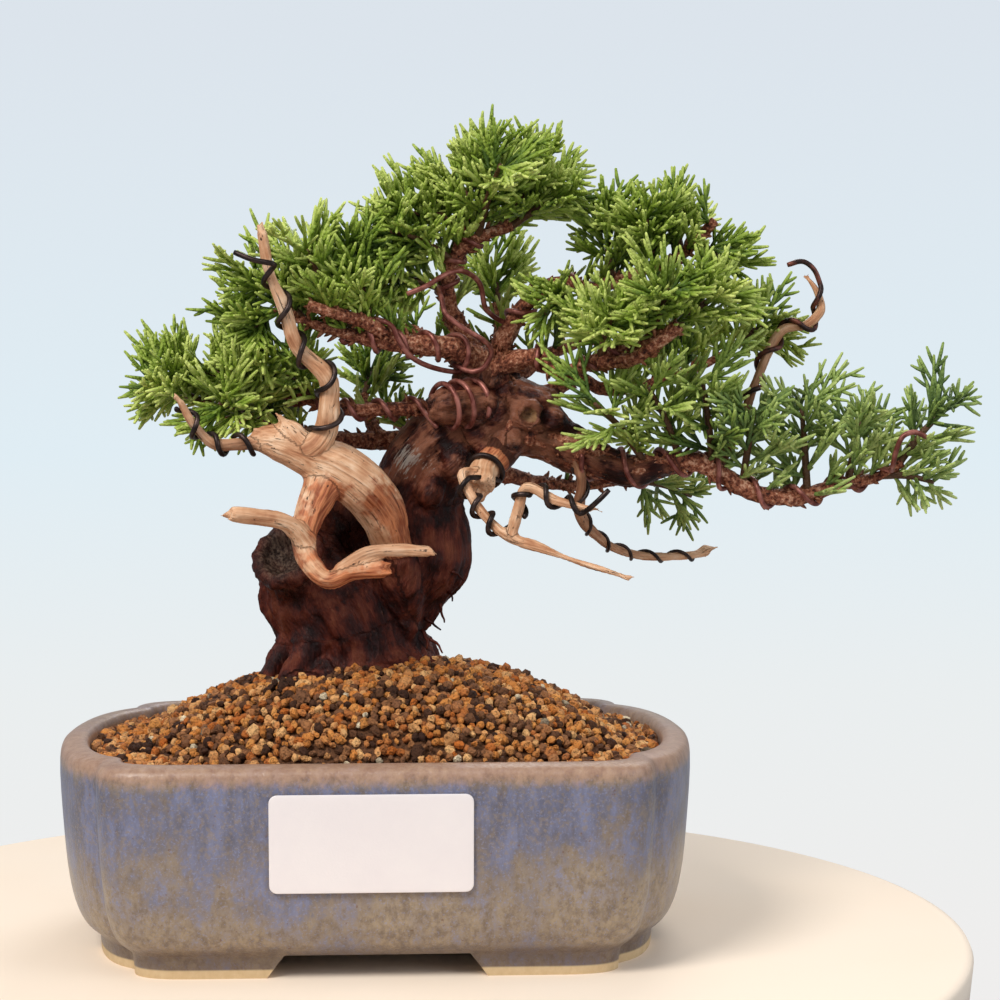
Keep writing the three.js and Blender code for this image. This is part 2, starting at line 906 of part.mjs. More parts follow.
function scarFrame() {
  const facing = new THREE.Vector3(...scar.facing).normalize();
  const across = new THREE.Vector3(0, 0, 1).cross(facing).normalize();
  const upward = facing.clone().cross(across);
  return { centre: new THREE.Vector3(...scar.centre), facing, across, upward };
}

function scarLip(grow) {
  const { centre, facing, across, upward } = scarFrame();
  const torus = new THREE.TorusGeometry(scar.radius, scar.lip + grow, 6, scar.segments);
  torus.applyMatrix4(new THREE.Matrix4().makeBasis(across, upward, facing).setPosition(centre));
  return solidOf(torus);
}

function scarBowl() {
  const { centre, facing } = scarFrame();
  const inner = scar.radius - 1.2;
  const bowl = new THREE.SphereGeometry(inner, 10, 6);
  bowl.translate(...centre.clone().addScaledVector(facing, 0.35 * inner).toArray());
  return solidOf(bowl);
}

function woodSolid(grow) {
  const parts = Object.entries(limbs).map(([name, limb]) => solidOf(limbGeometry(limb, grow, curves[name])));
  const solid = union([...parts, scarLip(grow)]);
  if (grow > 0) return solid;
  const cuts = Object.values(hollows).map((points) => solidOf(limbGeometry({ points, sides: 8, pitch: 6 })));
  const { deadLimb, strut } = limbs;
  const kept = [deadLimb, strut].map((limb) => solidOf(limbGeometry(limb)));
  return largestBody(union([solid.subtract(union([...cuts, scarBowl()])), ...kept]));
}

// Capsules stand for limbs, wires and shoots where a new piece has to keep clear of them
function capsulesOf(points, curve, spacing) {
  const count = Math.max(1, Math.round(curve.getLength() / spacing));
  const capsules = [];
  for (let i = 0; i < count; i++) {
    const [t0, t1] = [curve.getUtoTmapping(i / count), curve.getUtoTmapping((i + 1) / count)];
    const line = new THREE.Line3(curve.getPoint(t0), curve.getPoint(t1));
    capsules.push({ line, radius: Math.max(radiusAlong(points, t0), radiusAlong(points, t1)) });
  }
  return capsules;
}

const closest = new THREE.Vector3();
function pushClear(point, capsules, margin) {
  for (let pass = 0; pass < 6; pass++) {
    for (const { line, radius } of capsules) {
      line.closestPointToPoint(point, true, closest);
      const distance = point.distanceTo(closest);
      const needed = radius + margin;
      if (distance >= needed) continue;
      const away = point.clone().sub(closest).normalize();
      point.copy(closest).addScaledVector(away, needed);
    }
  }
  return point;
}

// The shortest distance between two lines, sampled along the first
function lineDistance(first, second) {
  const samples = 6;
  const sample = new THREE.Vector3();
  let shortest = Infinity;
  for (let i = 0; i <= samples; i++) {
    first.at(i / samples, sample);
    second.closestPointToPoint(sample, true, closest);
    shortest = Math.min(shortest, sample.distanceTo(closest));
  }
  return shortest;
}

function windingPoints({ limb, from, to, turns, phase }) {
  const curve = curves[limb];
  const { points } = limbs[limb];
  const resolution = 200;
  const { normals, binormals } = curve.computeFrenetFrames(resolution);
  const steps = Math.round(turns * wire.stepsPerTurn);
  const sag = Math.cos(Math.PI / wire.stepsPerTurn);
  const path = [];
  for (let i = 0; i <= steps; i++) {
    const share = THREE.MathUtils.lerp(from, to, i / steps);
    const t = curve.getUtoTmapping(share);
    const frame = Math.round(share * resolution);
    const angle = phase + (2 * Math.PI * turns * i) / steps;
    const radius = (radiusAlong(points, t) + gap + wire.radius) / sag;
    const point = curve.getPoint(t).addScaledVector(normals[frame], radius * Math.cos(angle));
    path.push(point.addScaledVector(binormals[frame], radius * Math.sin(angle)));
  }
  return path;
}

function wirePath({ windings, tail }, obstacles) {
  const path = windings.flatMap(windingPoints);
  path.push(...tail.map((place) => new THREE.Vector3(...place)));
  const margin = wire.radius + gap + 0.15;
  return path.map((point) => pushClear(point, obstacles, margin));
}

function wireGeometry(path, grow) {
  const points = path.map(({ x, y, z }) => [x, y, z, wire.radius]);
  return limbGeometry({ points, sides: wire.sides, steps: path.length - 1 }, grow);
}

// A spray: a slim stem, and shoots drawn out of single faces of its skin, so that all is one body
function sprayStem({ limb, at, tip }) {
  const start = curves[limb].getPointAt(at);
  const end = new THREE.Vector3(...tip);
  const middle = start.clone().lerp(end, 0.5);
  middle.z += 0.06 * start.distanceTo(end);
  const points = [
    [...start.toArray(), 1.2],
    [...middle.toArray(), 1.05],
    [...end.toArray(), 0.5],
  ];
  return { points, sides: 3, pitch: 2.8 };
}

function drawOut(points, faces, face, direction, length) {
  const corners = faces[face];
  const root = new THREE.Vector3();
  for (const corner of corners) root.addScaledVector(points[corner], 1 / 3);
  const shoulder = points.length;
  for (const corner of corners) {
    const side = points[corner].clone().sub(root);
    side.addScaledVector(direction, -side.dot(direction)).setLength(shoot.radius);
    points.push(side.add(root).addScaledVector(direction, shoot.taperFrom * length));
  }
  const end = points.length;
  points.push(root.clone().addScaledVector(direction, length));
  faces[face] = null;
  for (let k = 0; k < 3; k++) {
    const [a, b] = [corners[k], corners[(k + 1) % 3]];
    const [c, d] = [shoulder + k, shoulder + ((k + 1) % 3)];
    faces.push([a, b, d], [a, d, c], [c, d, end]);
  }
}

function faceFrame(points, corners) {
  const [a, b, c] = corners.map((corner) => points[corner]);
  const outward = b.clone().sub(a).cross(c.clone().sub(a)).normalize();
  const root = a.clone().add(b).add(c).divideScalar(3);
  return { root, outward };
}

function spraySolid(spray, stem, others) {
  const geometry = limbGeometry(stem);
  geometry.deleteAttribute("normal");
  geometry.deleteAttribute("uv");
  const merged = mergeVertices(geometry);
  const place = merged.attributes.position;
  const points = Array.from({ length: place.count }, (_, i) => new THREE.Vector3().fromBufferAttribute(place, i));
  const faces = Array.from({ length: merged.index.count / 3 }, (_, i) =>
    [0, 1, 2].map((corner) => merged.index.getX(3 * i + corner))
  );
  const axis = new THREE.Vector3(...stem.points[2]).sub(new THREE.Vector3(...stem.points[0]));
  const length = axis.length();
  axis.normalize();
  const skinFaces = faces.length - 2 * stem.sides;
  const hostRadius = radiusAlong(limbs[spray.limb].points, curves[spray.limb].getUtoTmapping(spray.at));
  const bare = (hostRadius + 2.5) / length;
  const own = [];
  const up = new THREE.Vector3(0, 0, 1);
  for (let k = 0; k < shootsPerSpray; k++) {
    const along = bare + (1 - bare) * ((k + 0.5) / shootsPerSpray);
    for (let attempt = 0; attempt < shoot.tries; attempt++) {
      const rings = skinFaces / (2 * stem.sides);
      const ring = Math.min(rings - 1, Math.floor(along * rings));
      const side = Math.floor(random() * stem.sides);
      const face = (side * rings + ring) * 2 + (random() < 0.5 ? 0 : 1);
      if (!faces[face] || face >= skinFaces) continue;
      const { root, outward } = faceFrame(points, faces[face]);
      const forward = 0.35 + 0.55 * random();
      const direction = outward.clone().addScaledVector(axis, forward).addScaledVector(up, 0.25).normalize();
      const reach = spray.reach * (0.72 + 0.28 * random());
      const start = root.clone().addScaledVector(direction, 2.2);
      const line = new THREE.Line3(start, root.clone().addScaledVector(direction, reach));
      const room = 2 * shoot.radius + shoot.clearance;
      const meets = others.some((other) => lineDistance(line, other.line) < other.radius + room - shoot.radius);
      if (meets || own.some((other) => lineDistance(line, other.line) < room)) continue;
      drawOut(points, faces, face, direction, reach);
      own.push({ line, radius: shoot.radius });
      break;
    }
  }
  const skin = new THREE.BufferGeometry();
  skin.setAttribute("position", new THREE.Float32BufferAttribute(points.flatMap((p) => p.toArray()), 3));
  skin.setIndex(faces.filter((corners) => corners !== null).flat());
  return { solid: solidOf(skin), shoots: own };
}

// Assembly
const tree = new THREE.Group();
const wood = woodSolid(0);
const aroundWood = woodSolid(gap);
tree.add(meshOf("pot", potSolid(), colours.pot, 0.35));
tree.add(meshOf("drain_screen_left", screenSolid(-drain.x), colours.screen, 0.6));
tree.add(meshOf("drain_screen_right", screenSolid(drain.x), colours.screen, 0.6));
tree.add(meshOf("soil", soilSolid(aroundWood), colours.soil, 0.95));
tree.add(meshOf("label", labelSolid(), colours.label, 0.5));
tree.add(meshOf("trunk_and_branches", wood, colours.wood, 0.85));

const woodCapsules = Object.entries(limbs).flatMap(([name, { points }]) => capsulesOf(points, curves[name], 4));
const obstacles = [...woodCapsules];
let keepOut = aroundWood;
for (const [name, spec] of Object.entries(wires)) {
  const path = wirePath(spec, obstacles);
  const solid = largestBody(solidOf(wireGeometry(path, 0)).subtract(keepOut));
  const colour = new THREE.Color(...spec.colour);
  tree.add(meshOf(name, solid, colour, 0.45, 0.8));
  keepOut = keepOut.add(solidOf(wireGeometry(path, gap)));
  for (let i = 0; i + 1 < path.length; i++) {
    obstacles.push({ line: new THREE.Line3(path[i], path[i + 1]), radius: wire.radius });
  }
}

const stems = Object.fromEntries(Object.entries(sprays).map(([name, spray]) => [name, sprayStem(spray)]));
const stemCapsules = {};
for (const [name, { points }] of Object.entries(stems)) {
  const curve = new THREE.CatmullRomCurve3(points.map(([x, y, z]) => new THREE.Vector3(x, y, z)));
  stemCapsules[name] = capsulesOf(points, curve, 5);
}
const placedShoots = [];
Object.entries(sprays).forEach(([name, spray], index) => {
  const otherStems = Object.keys(stems).filter((other) => other !== name);
  const others = [...obstacles, ...otherStems.flatMap((other) => stemCapsules[other]), ...placedShoots];
  const { solid, shoots } = spraySolid(spray, stems[name], others);
  placedShoots.push(...shoots);
  const cut = largestBody(solid.subtract(keepOut));
  tree.add(meshOf(`foliage_${name}`, cut, greens[index % greens.length], 0.7));
});

// The origin is on the floor under the middle of the whole tree
const box = new THREE.Box3().setFromObject(tree);
const middle = box.getCenter(new THREE.Vector3());
tree.position.set(-middle.x, -middle.y, -box.min.z);

export default tree;
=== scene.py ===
import math
from random import Random

import bpy
import numpy as np
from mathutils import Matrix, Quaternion, Vector, noise


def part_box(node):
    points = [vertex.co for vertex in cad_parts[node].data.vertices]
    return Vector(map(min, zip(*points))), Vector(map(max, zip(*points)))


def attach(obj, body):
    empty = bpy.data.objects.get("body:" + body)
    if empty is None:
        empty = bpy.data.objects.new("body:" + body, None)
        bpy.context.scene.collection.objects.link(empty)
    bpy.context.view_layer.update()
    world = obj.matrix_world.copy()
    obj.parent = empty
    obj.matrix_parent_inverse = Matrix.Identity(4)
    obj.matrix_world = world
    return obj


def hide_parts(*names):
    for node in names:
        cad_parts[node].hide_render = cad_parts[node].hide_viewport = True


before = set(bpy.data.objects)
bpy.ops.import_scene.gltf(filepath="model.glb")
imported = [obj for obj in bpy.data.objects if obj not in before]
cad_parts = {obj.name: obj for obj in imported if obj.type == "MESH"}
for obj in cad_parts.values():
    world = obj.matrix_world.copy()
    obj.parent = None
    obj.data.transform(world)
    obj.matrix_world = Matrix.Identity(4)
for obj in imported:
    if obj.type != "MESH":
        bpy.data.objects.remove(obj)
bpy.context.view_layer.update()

# Lengths are in millimetres, measured from the floor under the pot's middle; only the lamps' are in metres
MM = 0.001
pot_low, pot_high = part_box("pot")
POT_MIDDLE = np.array([(pot_low[0] + pot_high[0]) / 2, (pot_low[1] + pot_high[1]) / 2, 0.0]) / MM
SEED = 20260

# The wood: each limb runs outwards through points (x, y, z, radius)
LIMBS = {
    "stump": [
        (-7, 3, 56, 21), (-7, 3, 66, 23), (-8, 3, 73, 18.5), (-9, 2, 79, 16), (-11, 1, 85, 16),
        (-15, 0, 93, 16.5), (-17, -3, 100, 14.5), (-18, -7, 105, 11),
    ],
    "rearTrunk": [
        (2, 8, 60, 16), (3, 8, 72, 13.5), (1, 8, 80, 9.5), (5, 8, 87, 10.5), (8, 8, 93, 11.5),
        (11, 8, 100, 14.2), (11, 8, 108, 13.5), (11, 7, 116, 11.8), (14, 5, 124, 11.5),
        (21, 3, 131, 12), (28, 2, 138, 11.5), (30, 0, 147, 8.5), (31, -1, 154, 5.5),
    ],
    "innerWall": [(-4, 2, 86, 10), (-5, 2, 98, 9.5), (-8, 2, 107, 8), (-8, 1, 113, 7), (-2, 0, 120, 5)],
    "backWeb": [(-10, 8, 86, 9), (-6, 8, 98, 9.5), (2, 9, 110, 9), (10, 8, 118, 6)],
    "crown": [(23, 2, 133, 11), (34, 0, 138, 11.2), (43, -3, 138, 8.5), (47, -4, 137, 5)],
    "wiredStub": [(31, -3, 141, 6), (24, -9, 141.5, 5), (17, -13, 141, 4.4), (15, -14, 140.8, 3.6)],
    "rootLeft": [(-14, 0, 72, 8), (-25, -3, 66, 5), (-34, -5, 62, 2.6)],
    "rootFrontLeft": [(-12, -6, 72, 8), (-17, -16, 66, 5), (-20, -23, 62, 2.6)],
    "rootFrontRight": [(2, -3, 72, 7), (8, -12, 66, 4.4), (12, -19, 62, 2.6)],
    "rootRight": [(8, 3, 72, 7), (17, 0, 66, 4.6), (24, -3, 62, 2.6)],
    "rootBack": [(0, 12, 72, 8), (3, 23, 66, 5), (5, 31, 62, 2.6)],
    "deadLimb": [
        (9, 4, 92, 3), (7, -3, 97, 3.4), (4, -11, 106, 5.2), (1, -15, 114, 6.4), (-4, -20, 121, 6.9),
        (-11, -22, 126, 6.6), (-18, -23, 129, 5.3), (-25, -24, 132, 4.6), (-30, -24, 133, 3.2),
    ],
    "knuckle": [(-18, -24, 130, 4), (-22, -25, 135, 3.4), (-24, -25, 137, 2)],
    "strut": [
        (-12, -20, 127, 5), (-14, -24, 120.5, 4.9), (-17, -27.5, 114, 3.8), (-18.5, -30, 107, 3.2),
        (-16, -33, 101, 2.7), (-12, -35, 98, 2.3), (-6, -37, 100, 2), (2, -40, 101, 2.1),
    ],
    "stubLeft": [(-17, -30, 106, 3.2), (-22, -34, 112, 2.2), (-29, -38, 114, 2), (-36, -41, 115, 1.9)],
    "stubRight": [(-10, -35, 100, 1.8), (-1, -39, 105, 1.8), (6, -42, 106, 1.5), (13, -46, 106, 1.2)],
    "tallJin": [
        (-20, -24, 130, 3.2), (-16, -26, 131, 3.3), (-13, -26, 135, 3), (-12, -27, 142, 2.6),
        (-12, -28, 148, 2.4), (-20, -30, 157, 2), (-23, -32, 166, 1.7), (-26, -34, 174, 1.5),
        (-28, -36, 185, 1.4),
    ],
    "leftJin": [
        (-25, -24, 132, 3.2), (-33, -26, 132, 1.7), (-41, -28, 132, 1.5), (-46, -30, 137, 1.3),
        (-49, -32, 143, 1),
    ],
    "frontJin": [(34, -4, 131, 5.5), (31, -11, 127, 4.2), (28, -16, 124, 3.8), (27, -21, 121, 3.8)],
    "frontTwig": [
        (27, -19, 124, 1.7), (22, -24, 124, 1.4), (25, -27, 117, 1.4), (29, -29, 112, 1.3),
        (34, -31, 108, 1.8), (41, -33, 106, 1.2), (49, -35, 103, 1), (62, -40, 99, 0.7),
    ],
    "frontFork": [
        (34, -31, 108, 1.6), (36, -32, 115, 1.3), (38, -34, 121, 1.3), (45, -36, 118, 1.2),
        (54, -40, 116, 1),
    ],
    "hangingJin": [
        (48, -3, 134, 2.2), (52, -8, 128, 1.6), (54, -9, 122, 1.5), (54, -4, 113, 1.6),
        (61, 7, 104, 1.4), (72, 20, 99, 1.3), (83, 28, 98, 1.2), (90, 33, 98, 1.2), (93, 35, 99, 1.9),
    ],
    "rightJin": [
        (89, -11, 124, 1.6), (96, -8, 137, 1.4), (100, -6, 146, 1.3), (105, -4, 157, 1.3),
        (108, -4, 161, 1.3), (114, -3, 162, 1.2), (118, -2, 166, 1.3), (117, -2, 171, 1.1),
        (115, -2, 174, 0.9),
    ],
    "leftMiddle": [
        (25, 0, 137, 3.4), (14, -2, 140, 2.2), (4, -4, 140, 1.8), (-8, -4, 140, 1.7),
        (-20, -1, 143, 1.4), (-32, 2, 145, 1.2),
    ],
    "leftLow": [
        (18, 8, 130, 4), (7, 14, 131, 2.7), (-4, 12, 131, 2.3), (-14, 6, 132, 2), (-26, 2, 135, 1.8),
        (-36, -1, 138, 1.6), (-46, -4, 142, 1.2),
    ],
    "upperLeft": [
        (30, -2, 151, 4.2), (20, -10, 156, 3), (10, -14, 157, 2.6), (1, -17, 158, 2.1),
        (-8, -18, 160, 1.6), (-18, -17, 163, 1.3), (-26, -16, 166, 1),
    ],
    "dryStub": [(7, -15, 157, 2), (-3, -21, 163, 1.8), (-10, -24, 165, 1.6), (-17, -26, 167, 1.3)],
    "apex": [
        (28, -1, 151, 4), (22, -2, 161, 2.7), (19, -3, 169, 2.1), (20, -4, 178, 1.8),
        (27, -4, 185, 1.6), (36, -4, 188, 1.3),
    ],
    "leader": [(21, -4, 180, 1.5), (23, -3, 188, 1.3), (23, -2, 198, 1)],
    "upperRight": [
        (31, 0, 151, 3.6), (36, 0, 162, 2.4), (41, -2, 169, 2), (47, -4, 173, 1.8), (58, -7, 172, 1.6),
        (69, -10, 176, 1.5), (79, -12, 180, 1.4), (88, -15, 189, 1.4),
    ],
    "rightMiddle": [
        (31, -4, 150, 3.2), (42, -10, 154, 2.1), (48, -14, 150, 1.8), (55, -16, 152, 1.7),
        (61, -18, 155, 1.6), (70, -20, 158, 1.5), (77, -23, 162, 1.4),
    ],
    "peeledStub": [(58, -18, 152, 1.8), (66, -25, 153.5, 1.8), (71, -28, 157, 1.8), (77, -30, 162, 1.7)],
    "rightRear": [
        (39, 2, 140, 3), (48, 5, 145, 2.1), (54, 7, 148, 1.9), (61, 8, 145, 1.7), (73, 8, 146, 1.6),
        (85, 8, 150, 1.3), (95, 8, 155, 1),
    ],
    "rightMain": [
        (35, -2, 137, 9), (46, -4, 133, 6.4), (57, -6, 127, 5), (67, -8, 124, 4), (77, -10, 126, 3),
        (85, -12, 126, 2.6), (92, -12, 122, 2.4), (100, -12, 118, 2.3), (111, -12, 117, 2.2),
        (121, -12, 120, 1.8), (131, -12, 122, 1.4), (138, -14, 126, 1.1),
    ],
    "backLow": [
        (23, 4, 127, 3.4), (32, 8, 123, 2.6), (42, 15, 120, 1.8), (56, 25, 118, 1.5),
        (72, 34, 119, 1.1),
    ],
    "backLeft": [(2, 12, 130, 2), (-2, 20, 137, 1.5), (-3, 28, 143, 1.1)],
    "backCentre": [(30, 5, 148, 3), (34, 20, 159, 2), (34, 32, 168, 1.3)],
    "backRight": [(34, 5, 146, 2.8), (47, 20, 154, 1.8), (63, 33, 160, 1.3)],
    "backUpperLeft": [(27, 5, 148, 2.8), (17, 20, 157, 1.8), (6, 33, 163, 1.3)],
    "backBottomLeft": [(15, 11, 129, 2.6), (10, 26, 133, 1.8), (3, 40, 137, 1.3)],
}

# What is cut out of the old wood: the dark pocket behind the dead limb, and the cleft below it
HOLLOWS = [
    [(-8, -20, 108, 7), (-4, -6, 105, 5), (-3, -1, 103, 3)],
    [(-5, -18, 106, 4), (2, -13, 97, 3.4), (7, -9, 89, 2.6), (12, -5, 80, 2)],
]

# Training wires: the kind of wire, its windings as (limb, from, to, turns, phase, and a gap of its own), the
# points of its free end, and the points that lead in
WIRES = {
    "wire_tall_jin": (
        "dark",
        [("tallJin", 0.1, 0.86, 4.5, 2.2)],
        [(-25, -39, 177), (-30, -39, 178), (-35, -38, 180)],
    ),
    "wire_left_jin": ("dark", [("leftJin", 0.2, 0.96, 3, 0)], []),
    "wire_front_jin": ("dark", [("frontJin", 0.62, 0.74, 1.2, 1.5), ("frontTwig", 0.16, 0.46, 3, 2)], []),
    "wire_front_fork": ("dark", [("frontFork", 0.2, 0.92, 3, 1)], [(55, -43, 118), (58, -43, 121)]),
    "wire_hanging_jin": ("thin", [("hangingJin", 0.14, 0.95, 6, 0, -0.5)], []),
    "wire_right_jin": (
        "worn",
        [("rightJin", 0.22, 0.96, 4, 1)],
        [(116, -3, 177), (113, -3, 179), (109, -3, 178)],
    ),
    "wire_upper_left": (
        "copper",
        [("upperLeft", 0.16, 0.7, 4, 0.5)],
        [],
        [(-3, -16, 165), (-1, -18, 164), (4, -20, 162), (6, -20, 158), (9, -18, 154), (15, -13, 151),
         (22, -8, 150)],
    ),
    "wire_left_middle": (
        "copper",
        [("wiredStub", 0.36, 0.94, 2.8, 1.0, 0.7), ("leftMiddle", 0.24, 0.84, 4, 0)],
        [],
    ),
    "wire_apex": (
        "copper",
        [("apex", 0.42, 0.8, 2.8, 3)],
        [],
        [(20, -8, 152), (25, -12, 150), (28, -13, 151), (30, -14, 155), (28, -17, 158), (23, -18, 161),
         (18, -17, 165), (17, -15, 169), (16, -10, 172)],
    ),
    "wire_upper_right": (
        "copper",
        [("upperRight", 0.16, 0.64, 4, 3)],
        [],
        [(8, -22, 170), (13, -22, 172), (18, -20, 175), (22, -18, 176), (27, -12, 173), (29, -7, 166)],
    ),
    "wire_right_middle": ("copper", [("rightMiddle", 0.22, 0.76, 4, 2)], []),
    "wire_right_main": (
        "copper",
        [("rightMain", 0.2, 0.97, 7, 0)],
        [(134, -21, 126), (134.5, -23, 130), (136, -24, 133.5), (139, -24, 134.5), (142.5, -23, 133)],
    ),
}

# Foliage: each spray leaves its limb at a share of its length and ends at a tip; reach is its longest shoot
SPRAYS = {
    "far_left_tip": ("leftLow", 0.99, (-57, -6, 146), 14),
    "far_left_top": ("leftMiddle", 0.97, (-53, -2, 151), 14),
    "far_left_front": ("leftMiddle", 0.66, (-34, -14, 153), 16),
    "far_left_low": ("leftLow", 0.76, (-40, -18, 142), 15),
    "far_left_back": ("leftMiddle", 0.72, (-34, 18, 151), 15),
    "far_left_under": ("leftLow", 0.68, (-32, 22, 141), 14),
    "left_tip": ("upperLeft", 0.99, (-31, -17, 161), 13),
    "left_fan": ("upperLeft", 0.86, (-31, -15, 174), 15),
    "left_crest": ("upperLeft", 0.72, (-18, -22, 182), 15),
    "left_inner": ("upperLeft", 0.56, (-7, -16, 181), 16),
    "left_back": ("upperLeft", 0.66, (-12, 8, 173), 15),
    "crown_left": ("leader", 0.5, (6, -8, 191), 14),
    "crown_left_top": ("leader", 0.99, (17, 0, 197), 13),
    "crown_left_front": ("apex", 0.62, (4, -18, 186), 15),
    "crown_left_low": ("apex", 0.46, (2, -8, 174), 13),
    "crown_middle": ("leader", 0.8, (31, -6, 206.5), 13),
    "crown_front": ("apex", 0.8, (32, -20, 203), 15),
    "crown_right_top": ("apex", 0.92, (45, -4, 203.5), 14),
    "crown_right": ("apex", 0.99, (51, -8, 196), 14),
    "crown_back": ("apex", 0.7, (32, 18, 200), 15),
    "right_top_inner": ("upperRight", 0.58, (60, -8, 190), 14),
    "right_top_middle": ("upperRight", 0.74, (70, -16, 190), 14),
    "right_top_tip": ("upperRight", 0.9, (92, -10, 178), 12),
    "right_top_crest": ("upperRight", 0.84, (78, -4, 191), 12),
    "sprig_inner": ("upperRight", 0.42, (44, -16, 165), 10),
    "right_middle_inner": ("rightMiddle", 0.6, (60, -28, 164), 15),
    "right_middle_front": ("rightMiddle", 0.86, (74, -32, 171), 14),
    "right_middle_tip": ("rightMiddle", 0.99, (89, -25, 170), 14),
    "right_rear_tip": ("rightRear", 0.99, (106, 6, 163), 13),
    "right_rear_back": ("rightRear", 0.7, (84, 24, 160), 14),
    "right_low_inner": ("rightMain", 0.36, (56, -24, 142), 14),
    "right_low_front": ("rightMain", 0.44, (70, -24, 146), 14),
    "right_low_middle": ("rightMain", 0.52, (84, -22, 148), 14),
    "right_low_outer": ("rightMain", 0.6, (98, -20, 140), 13),
    "right_far": ("rightMain", 0.76, (111, -15, 141), 13),
    "right_far_outer": ("rightMain", 0.86, (127, -14, 137), 13),
    "right_tip_up": ("rightMain", 0.985, (151, -12, 141), 12),
    "right_tip_low": ("rightMain", 0.94, (146, -16, 121), 10),
    "back_left": ("backLeft", 0.98, (-1, 38, 150), 12),
    "back_centre": ("backCentre", 0.98, (33, 40, 178), 14),
    "back_low": ("backLow", 0.98, (89, 38, 114), 12),
    "back_right": ("backRight", 0.98, (75, 42, 168), 15),
}


# Shader maths

# The colour sockets of a Mix node go by number, because its sockets for numbers have the same names
MIX_FACTOR, MIX_FIRST, MIX_SECOND, MIX_RESULT = 0, 6, 7, 2


class Field:
    """A socket that gives a value, colour or vector. Sums and products of fields add the nodes for them."""

    def __init__(self, finish, socket):
        self.finish = finish
        self.socket = socket

    def _joined(self, operation, first, second):
        fields = [side for side in (first, second) if isinstance(side, Field)]
        is_number = all(side.socket.type == "VALUE" for side in fields)
        kind = "ShaderNodeMath" if is_number else "ShaderNodeVectorMath"
        return self.finish.node(kind, {"operation": operation}, (first, second))

    def __add__(self, other):
        return self._joined("ADD", self, other)

    def __radd__(self, other):
        return self._joined("ADD", other, self)

    def __sub__(self, other):
        return self._joined("SUBTRACT", self, other)

    def __rsub__(self, other):
        return self._joined("SUBTRACT", other, self)

    def __mul__(self, other):
        return self._joined("MULTIPLY", self, other)

    def __rmul__(self, other):
        return self._joined("MULTIPLY", other, self)


class Finish:
    """A material: its nodes are made by node(), and the named helpers are short ways to call it."""

    def __init__(self, name):
        self.material = bpy.data.materials.new(name)
        self.material.use_nodes = True
        self.nodes = self.material.node_tree.nodes
        self.links = self.material.node_tree.links
        self.nodes.clear()
        self.shader = self.nodes.new("ShaderNodeBsdfPrincipled")
        output = self.nodes.new("ShaderNodeOutputMaterial")
        self.links.new(self.shader.outputs[0], output.inputs[0])

    def feed(self, node, inputs):
        """Links or sets a node's sockets, given by name or in order."""
        pairs = inputs.items() if isinstance(inputs, dict) else enumerate(inputs)
        for key, value in pairs:
            socket = node.inputs[key]
            if isinstance(value, Field):
                self.links.new(value.socket, socket)
            elif socket.type == "RGBA":
                socket.default_value = (*value, 1.0)
            elif socket.type == "VECTOR" and not hasattr(value, "__len__"):
                socket.default_value = (value, value, value)
            else:
                socket.default_value = value

    def node(self, kind, settings=None, inputs=(), output=0):
        node = self.nodes.new(kind)
        for key, value in (settings or {}).items():
            if key == "stops":
                lay_stops(node.color_ramp, value)
            else:
                setattr(node, key, value)
        self.feed(node, inputs)
        return Field(self, node.outputs[output])

    def place(self):
        """The spot on the object, in millimetres."""
        return self.node("ShaderNodeTexCoord", output="Object") * (1 / MM)

    def part(self, vector, axis):
        """One of a vector's three numbers."""
        return self.node("ShaderNodeSeparateXYZ", inputs=[vector], output=axis)

    def stored(self, name, output="Fac"):
        """What the piece's points carry under the name."""
        return self.node("ShaderNodeAttribute", {"attribute_name": name}, output=output)

    def noise(self, vector, size, detail=2.0, roughness=0.5):
        """Soft noise round 0.5, whose broadest swells are as wide as the size."""
        sockets = {"Vector": vector, "Scale": 1 / size, "Detail": detail, "Roughness": roughness}
        return self.node("ShaderNodeTexNoise", inputs=sockets, output="Fac")

    def cells(self, vector, size):
        """How far the spot is from the middle of its cell."""
        sockets = {"Vector": vector, "Scale": 1 / size}
        return self.node("ShaderNodeTexVoronoi", inputs=sockets, output="Distance")

    def rise(self, value, low, high):
        """A smooth step from 0 at low to 1 at high, which falls where low is the greater one."""
        sockets = {"Value": value, "From Min": low, "From Max": high}
        return self.node("ShaderNodeMapRange", {"interpolation_type": "SMOOTHSTEP"}, sockets)

    def ramp(self, value, stops):
        """The colour at a value, between (value, colour) stops."""
        return self.node("ShaderNodeValToRGB", {"stops": stops}, [value])

    def mix(self, factor, first, second):
        """The first colour where the factor is 0, and the second where it is 1."""
        settings = {"data_type": "RGBA", "clamp_factor": True}
        sockets = {MIX_FACTOR: factor, MIX_FIRST: first, MIX_SECOND: second}
        return self.node("ShaderNodeMix", settings, sockets, output=MIX_RESULT)

    def bump(self, height, depth):
        """The slope of a height from 0 to 1, for a relief as deep as the depth."""
        return self.node("ShaderNodeBump", inputs={"Height": height, "Distance": depth * MM})

    def coat(self, **sockets):
        """Feeds the surface shader; each argument is a socket's name in small letters."""
        names = {key: key.replace("_", " ").title().replace("Ior", "IOR") for key in sockets}
        self.feed(self.shader, {names[key]: value for key, value in sockets.items()})
        return self


def lay_stops(ramp, stops):
    """Gives a colour ramp its (position, colour) stops in place of the two that it starts with."""
    for position, _ in stops[1:]:
        ramp.elements.new(position)
    ramp.elements.remove(ramp.elements[-1])
    for element, (position, colour) in zip(ramp.elements, stops):
        element.position = position
        element.color = (*colour, 1.0)


def paint(code):
    """The colour that a six-figure screen code names, as the shader takes it."""
    shares = [int(code[place : place + 2], 16) / 255 for place in (1, 3, 5)]
    return tuple(share / 12.92 if share <= 0.04045 else ((share + 0.055) / 1.055) ** 2.4 for share in shares)


# Shapes
FRAME_STEPS = 400


